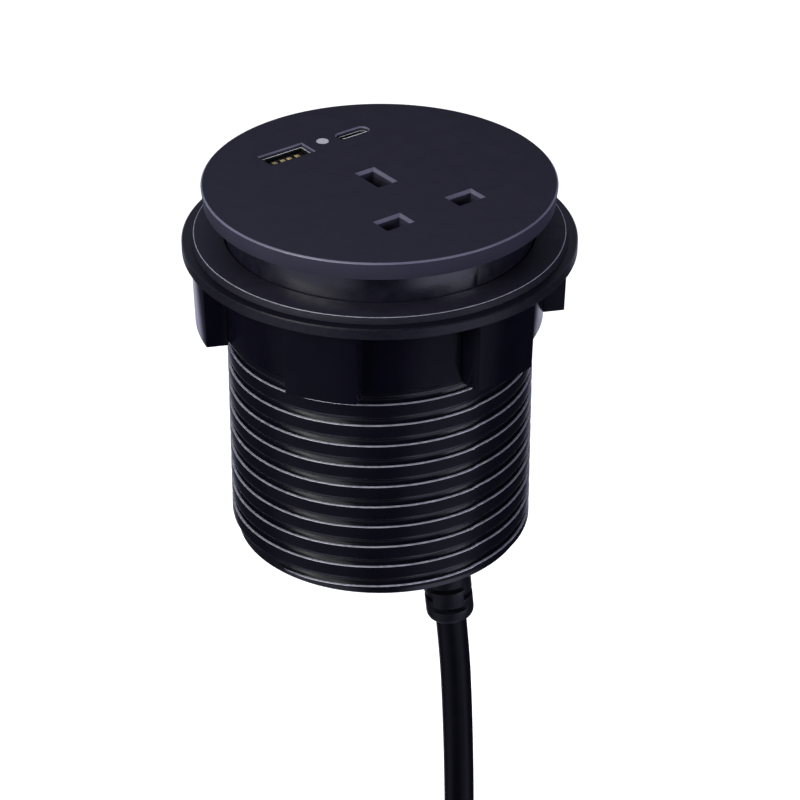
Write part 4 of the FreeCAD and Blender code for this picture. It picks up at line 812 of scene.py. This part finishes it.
def make_port_contacts():
    """Folds four sprung strips over the end of the larger port's tongue."""
    low, high = corners_of("usb_a_contacts")
    middle = (low[0] + high[0]) / 2
    top = top_of("usb_a_tongue")
    strips = []
    for offset in STRIP_PLACES:
        strip = block((STRIP_WIDTH, STRIP_THICKNESS, top - low[2]),
                      (middle + offset, high[1] - STRIP_THICKNESS / 2, (top + low[2]) / 2))
        pick(strip, "FACE", lambda centre, normal: normal.z > 0.9)
        bpy.ops.mesh.extrude_region_move(TRANSFORM_OT_translate={"value": (0, 0, STRIP_THICKNESS * MM)})
        bpy.ops.object.mode_set(mode="OBJECT")
        pick(strip, "FACE", lambda centre, normal: normal.y > 0.9 and centre.z > top)
        bpy.ops.mesh.extrude_region_move(TRANSFORM_OT_translate={"value": (0, STRIP_FOLD * MM, 0)})
        bpy.ops.object.mode_set(mode="OBJECT")
        strips.append(strip)
    contacts = join(strips)
    contacts.name = "port_contacts"
    apply(contacts, "BEVEL", width=STRIP_ROUND * MM, segments=2)
    smooth(contacts, 35)
    finish(contacts, "module", "gold", GOLD, "usb_a_contacts")


# Nodes that keep their own mesh and get a material
LOOKS = {
    "base_screws": STEEL_ZINC, "carrier_screws": STEEL_ZINC, "clamp_screws": STEEL_ZINC,
    "board_screws": STEEL_ZINC, "socket_shutter": PBT_BLACK, "contact_carrier": PBT_BLACK,
    "live_contact": BRASS, "neutral_contact": BRASS, "earth_contact": BRASS, "usb_a_tongue": PBT_BLACK,
    "usb_c_tongue": PBT_BLACK, "usb_board": SOLDER_MASK, "supply_board": SOLDER_MASK,
    "transformer": PBT_BLACK, "capacitors": SLEEVE_BLUE, "board_link": LCP_CREAM, "cord_clamp": PBT_BLACK,
    "cord_entry": PVC_SHEATH, "live_lead": CORE_BROWN, "neutral_lead": CORE_BLUE, "earth_lead": CORE_GREEN,
    "coil_tie": PBT_BLACK, "plug_relief": PVC_SOFT, "plug_body": PHENOLIC, "plug_earth_pin": BRASS,
    "plug_live_pin": BRASS, "plug_neutral_pin": BRASS, "plug_pin_sleeves": PBT_BLACK,
    "fuse_carrier": PHENOLIC, "plug_fuse": CERAMIC}


def dress_nodes():
    """Gives each of these nodes its material."""
    for node, look in LOOKS.items():
        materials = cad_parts[node].data.materials
        materials.clear()
        materials.append(look)


# The camera, as fitted to the photograph's view: its place in metres, its angles and its lens in millimetres
CAMERA_PLACE = (-0.41348, -0.55831, 0.35107)
CAMERA_BEARING = math.radians(-36.948)
CAMERA_ELEVATION = math.radians(30.597)
FOCAL_LENGTH = 138.63
SENSOR_WIDTH = 36.0


def make_camera():
    """Places the camera where the photograph was taken from."""
    lens = bpy.data.cameras.new("camera")
    lens.lens = FOCAL_LENGTH
    lens.sensor_width = SENSOR_WIDTH
    lens.clip_end = 50
    camera = bpy.data.objects.new("camera", lens)
    bpy.context.scene.collection.objects.link(camera)
    camera.location = CAMERA_PLACE
    camera.rotation_euler = (math.radians(90) - CAMERA_ELEVATION, 0, CAMERA_BEARING)
    bpy.context.scene.camera = camera


# The studio: level directions away from the camera and across its view
AWAY = (-math.sin(CAMERA_BEARING), math.cos(CAMERA_BEARING), 0)
ACROSS = (math.cos(CAMERA_BEARING), math.sin(CAMERA_BEARING), 0)
# What the floor shows in the part's gloss, as degrees round from the front, right positive, and brightness:
# white behind, a grey card at the left front, a white one at the right front, and dark between them
CARDS = [(-180, 0.98), (-153, 0.95), (-142, 0.08), (-88, 0.04), (-70, 0.5), (-26, 0.5), (-9, 0.0), (14, 0.0),
         (34, 0.95), (62, 0.95), (80, 0.03), (142, 0.05), (153, 0.95), (180, 0.98)]
FLOOR_SIZE = 40
# The table's own glow, which with its lit colour makes the white of the background
FLOOR_GLOW = 0.8
# The room's brightness on matt surfaces
ROOM_LIGHT = 0.14
# Where the lamps look, in metres
LAMP_AIM = (0, 0, -0.03)


def make_floor():
    """Makes a white table that keeps the part's shadow, and whose image in the part's gloss is the cards."""
    deselect()
    bpy.ops.mesh.primitive_plane_add(size=FLOOR_SIZE, location=(0, 0, FLOOR_HEIGHT * MM))
    floor = bpy.context.object
    floor.name = "floor"
    settle(floor)
    material = bpy.data.materials.new("white_laminate")
    material.use_nodes = True
    tree = material.node_tree
    tree.nodes.clear()
    light = add(tree, "ShaderNodeLightPath", {})
    place = add(tree, "ShaderNodeTexCoord", {})
    spot = place.outputs["Object"]
    behind = add(tree, "ShaderNodeVectorMath", {0: spot, 1: AWAY}, operation="DOT_PRODUCT")
    across = add(tree, "ShaderNodeVectorMath", {0: spot, 1: ACROSS}, operation="DOT_PRODUCT")
    front = add(tree, "ShaderNodeMath", {0: behind.outputs["Value"], 1: -1.0}, operation="MULTIPLY")
    angle = add(tree, "ShaderNodeMath", {
        0: across.outputs["Value"], 1: front.outputs[0]}, operation="ARCTAN2")
    round_share = add(tree, "ShaderNodeMapRange", {
        "Value": angle.outputs[0], "From Min": -math.pi, "From Max": math.pi})
    cards = add(tree, "ShaderNodeValToRGB", {"Fac": round_share.outputs["Result"]})
    while len(cards.color_ramp.elements) < len(CARDS):
        cards.color_ramp.elements.new(0.5)
    for stop, (degrees, strength) in zip(cards.color_ramp.elements, CARDS):
        stop.position = degrees / 360 + 0.5
        stop.color = (strength, strength, strength, 1)
    seen_through = add(tree, "ShaderNodeMath", {
        0: light.outputs["Is Camera Ray"], 1: light.outputs["Is Transmission Ray"]}, operation="MAXIMUM")
    glow = add(tree, "ShaderNodeMath", {0: seen_through.outputs[0], 1: FLOOR_GLOW}, operation="MULTIPLY")
    plain = add(tree, "ShaderNodeBsdfDiffuse", {"Color": linear("#EDEDED")})
    white = add(tree, "ShaderNodeEmission", {"Color": linear("#FFFFFF"), "Strength": glow.outputs[0]})
    seen = add(tree, "ShaderNodeAddShader", {0: plain.outputs[0], 1: white.outputs[0]})
    gleam = add(tree, "ShaderNodeEmission", {"Color": linear("#E0E0FF"), "Strength": cards.outputs["Color"]})
    mixed = add(tree, "ShaderNodeMixShader", {
        0: light.outputs["Is Glossy Ray"], 1: seen.outputs[0], 2: gleam.outputs[0]})
    add(tree, "ShaderNodeOutputMaterial", {"Surface": mixed.outputs[0]})
    floor.data.materials.append(material)


def make_world():
    """Makes a room that is white to the eye, and in the part's gloss white behind it and dim elsewhere."""
    world = bpy.data.worlds.new("studio")
    bpy.context.scene.world = world
    world.use_nodes = True
    tree = world.node_tree
    tree.nodes.clear()
    light = add(tree, "ShaderNodeLightPath", {})
    place = add(tree, "ShaderNodeTexCoord", {})
    direction = place.outputs["Generated"]
    height = add(tree, "ShaderNodeSeparateXYZ", {0: direction})
    behind = add(tree, "ShaderNodeVectorMath", {0: direction, 1: AWAY}, operation="DOT_PRODUCT")
    # The wall brightens from the sides to straight behind, and fades with height
    wall = add(tree, "ShaderNodeMapRange", {
        "Value": behind.outputs["Value"], "From Min": 0.2, "From Max": 0.8, "To Min": 0.08, "To Max": 0.9})
    fade = add(tree, "ShaderNodeMapRange", {
        "Value": height.outputs["Z"], "From Min": 0.05, "From Max": 0.45, "To Min": 1.0, "To Max": 0.25})
    mirrored = add(tree, "ShaderNodeMath", {0: wall.outputs["Result"], 1: fade.outputs["Result"]},
                   operation="MULTIPLY")
    room = add(tree, "ShaderNodeMix", {
        "Factor": light.outputs["Is Glossy Ray"], "A": ROOM_LIGHT, "B": mirrored.outputs[0]},
        data_type="FLOAT")
    strength = add(tree, "ShaderNodeMix", {
        "Factor": light.outputs["Is Camera Ray"], "A": room.outputs[0], "B": 1.0}, data_type="FLOAT")
    tint = add(tree, "ShaderNodeMix", {
        "Factor": light.outputs["Is Glossy Ray"], "A": linear("#FFFFFF"), "B": linear("#DADAFF")},
        data_type="RGBA")
    sky = add(tree, "ShaderNodeBackground", {"Color": tint.outputs[2], "Strength": strength.outputs[0]})
    add(tree, "ShaderNodeOutputWorld", {"Surface": sky.outputs[0]})


def make_lamp(name, power, size, place, colour="#FFFFFF"):
    """Hangs a square soft box that faces the part, by its power in watts and its size and place in metres."""
    lamp = bpy.data.lights.new(name, "AREA")
    lamp.energy = power
    lamp.size = size
    lamp.color = linear(colour)[:3]
    holder = bpy.data.objects.new(name, lamp)
    bpy.context.scene.collection.objects.link(holder)
    holder.location = place
    holder.rotation_euler = (Vector(LAMP_AIM) - Vector(place)).to_track_quat("-Z", "Y").to_euler()


# Building

make_cord()
make_relief()
make_barrel()
make_washer()
make_nut()
make_cover()
make_port_shells()
make_spring()
make_port_contacts()
dress_nodes()
make_floor()
make_world()
make_lamp("left_box", 6, 0.4, (-1.12, 0.13, 0.24))
make_lamp("right_box", 11, 0.4, (0.43, -1.04, 0.21), colour="#ECECFF")
make_lamp("left_key", 1.6, 0.2, (-0.33, -0.05, 0.16))
make_camera()
bpy.context.scene.view_settings.view_transform = "Standard"

deselect()
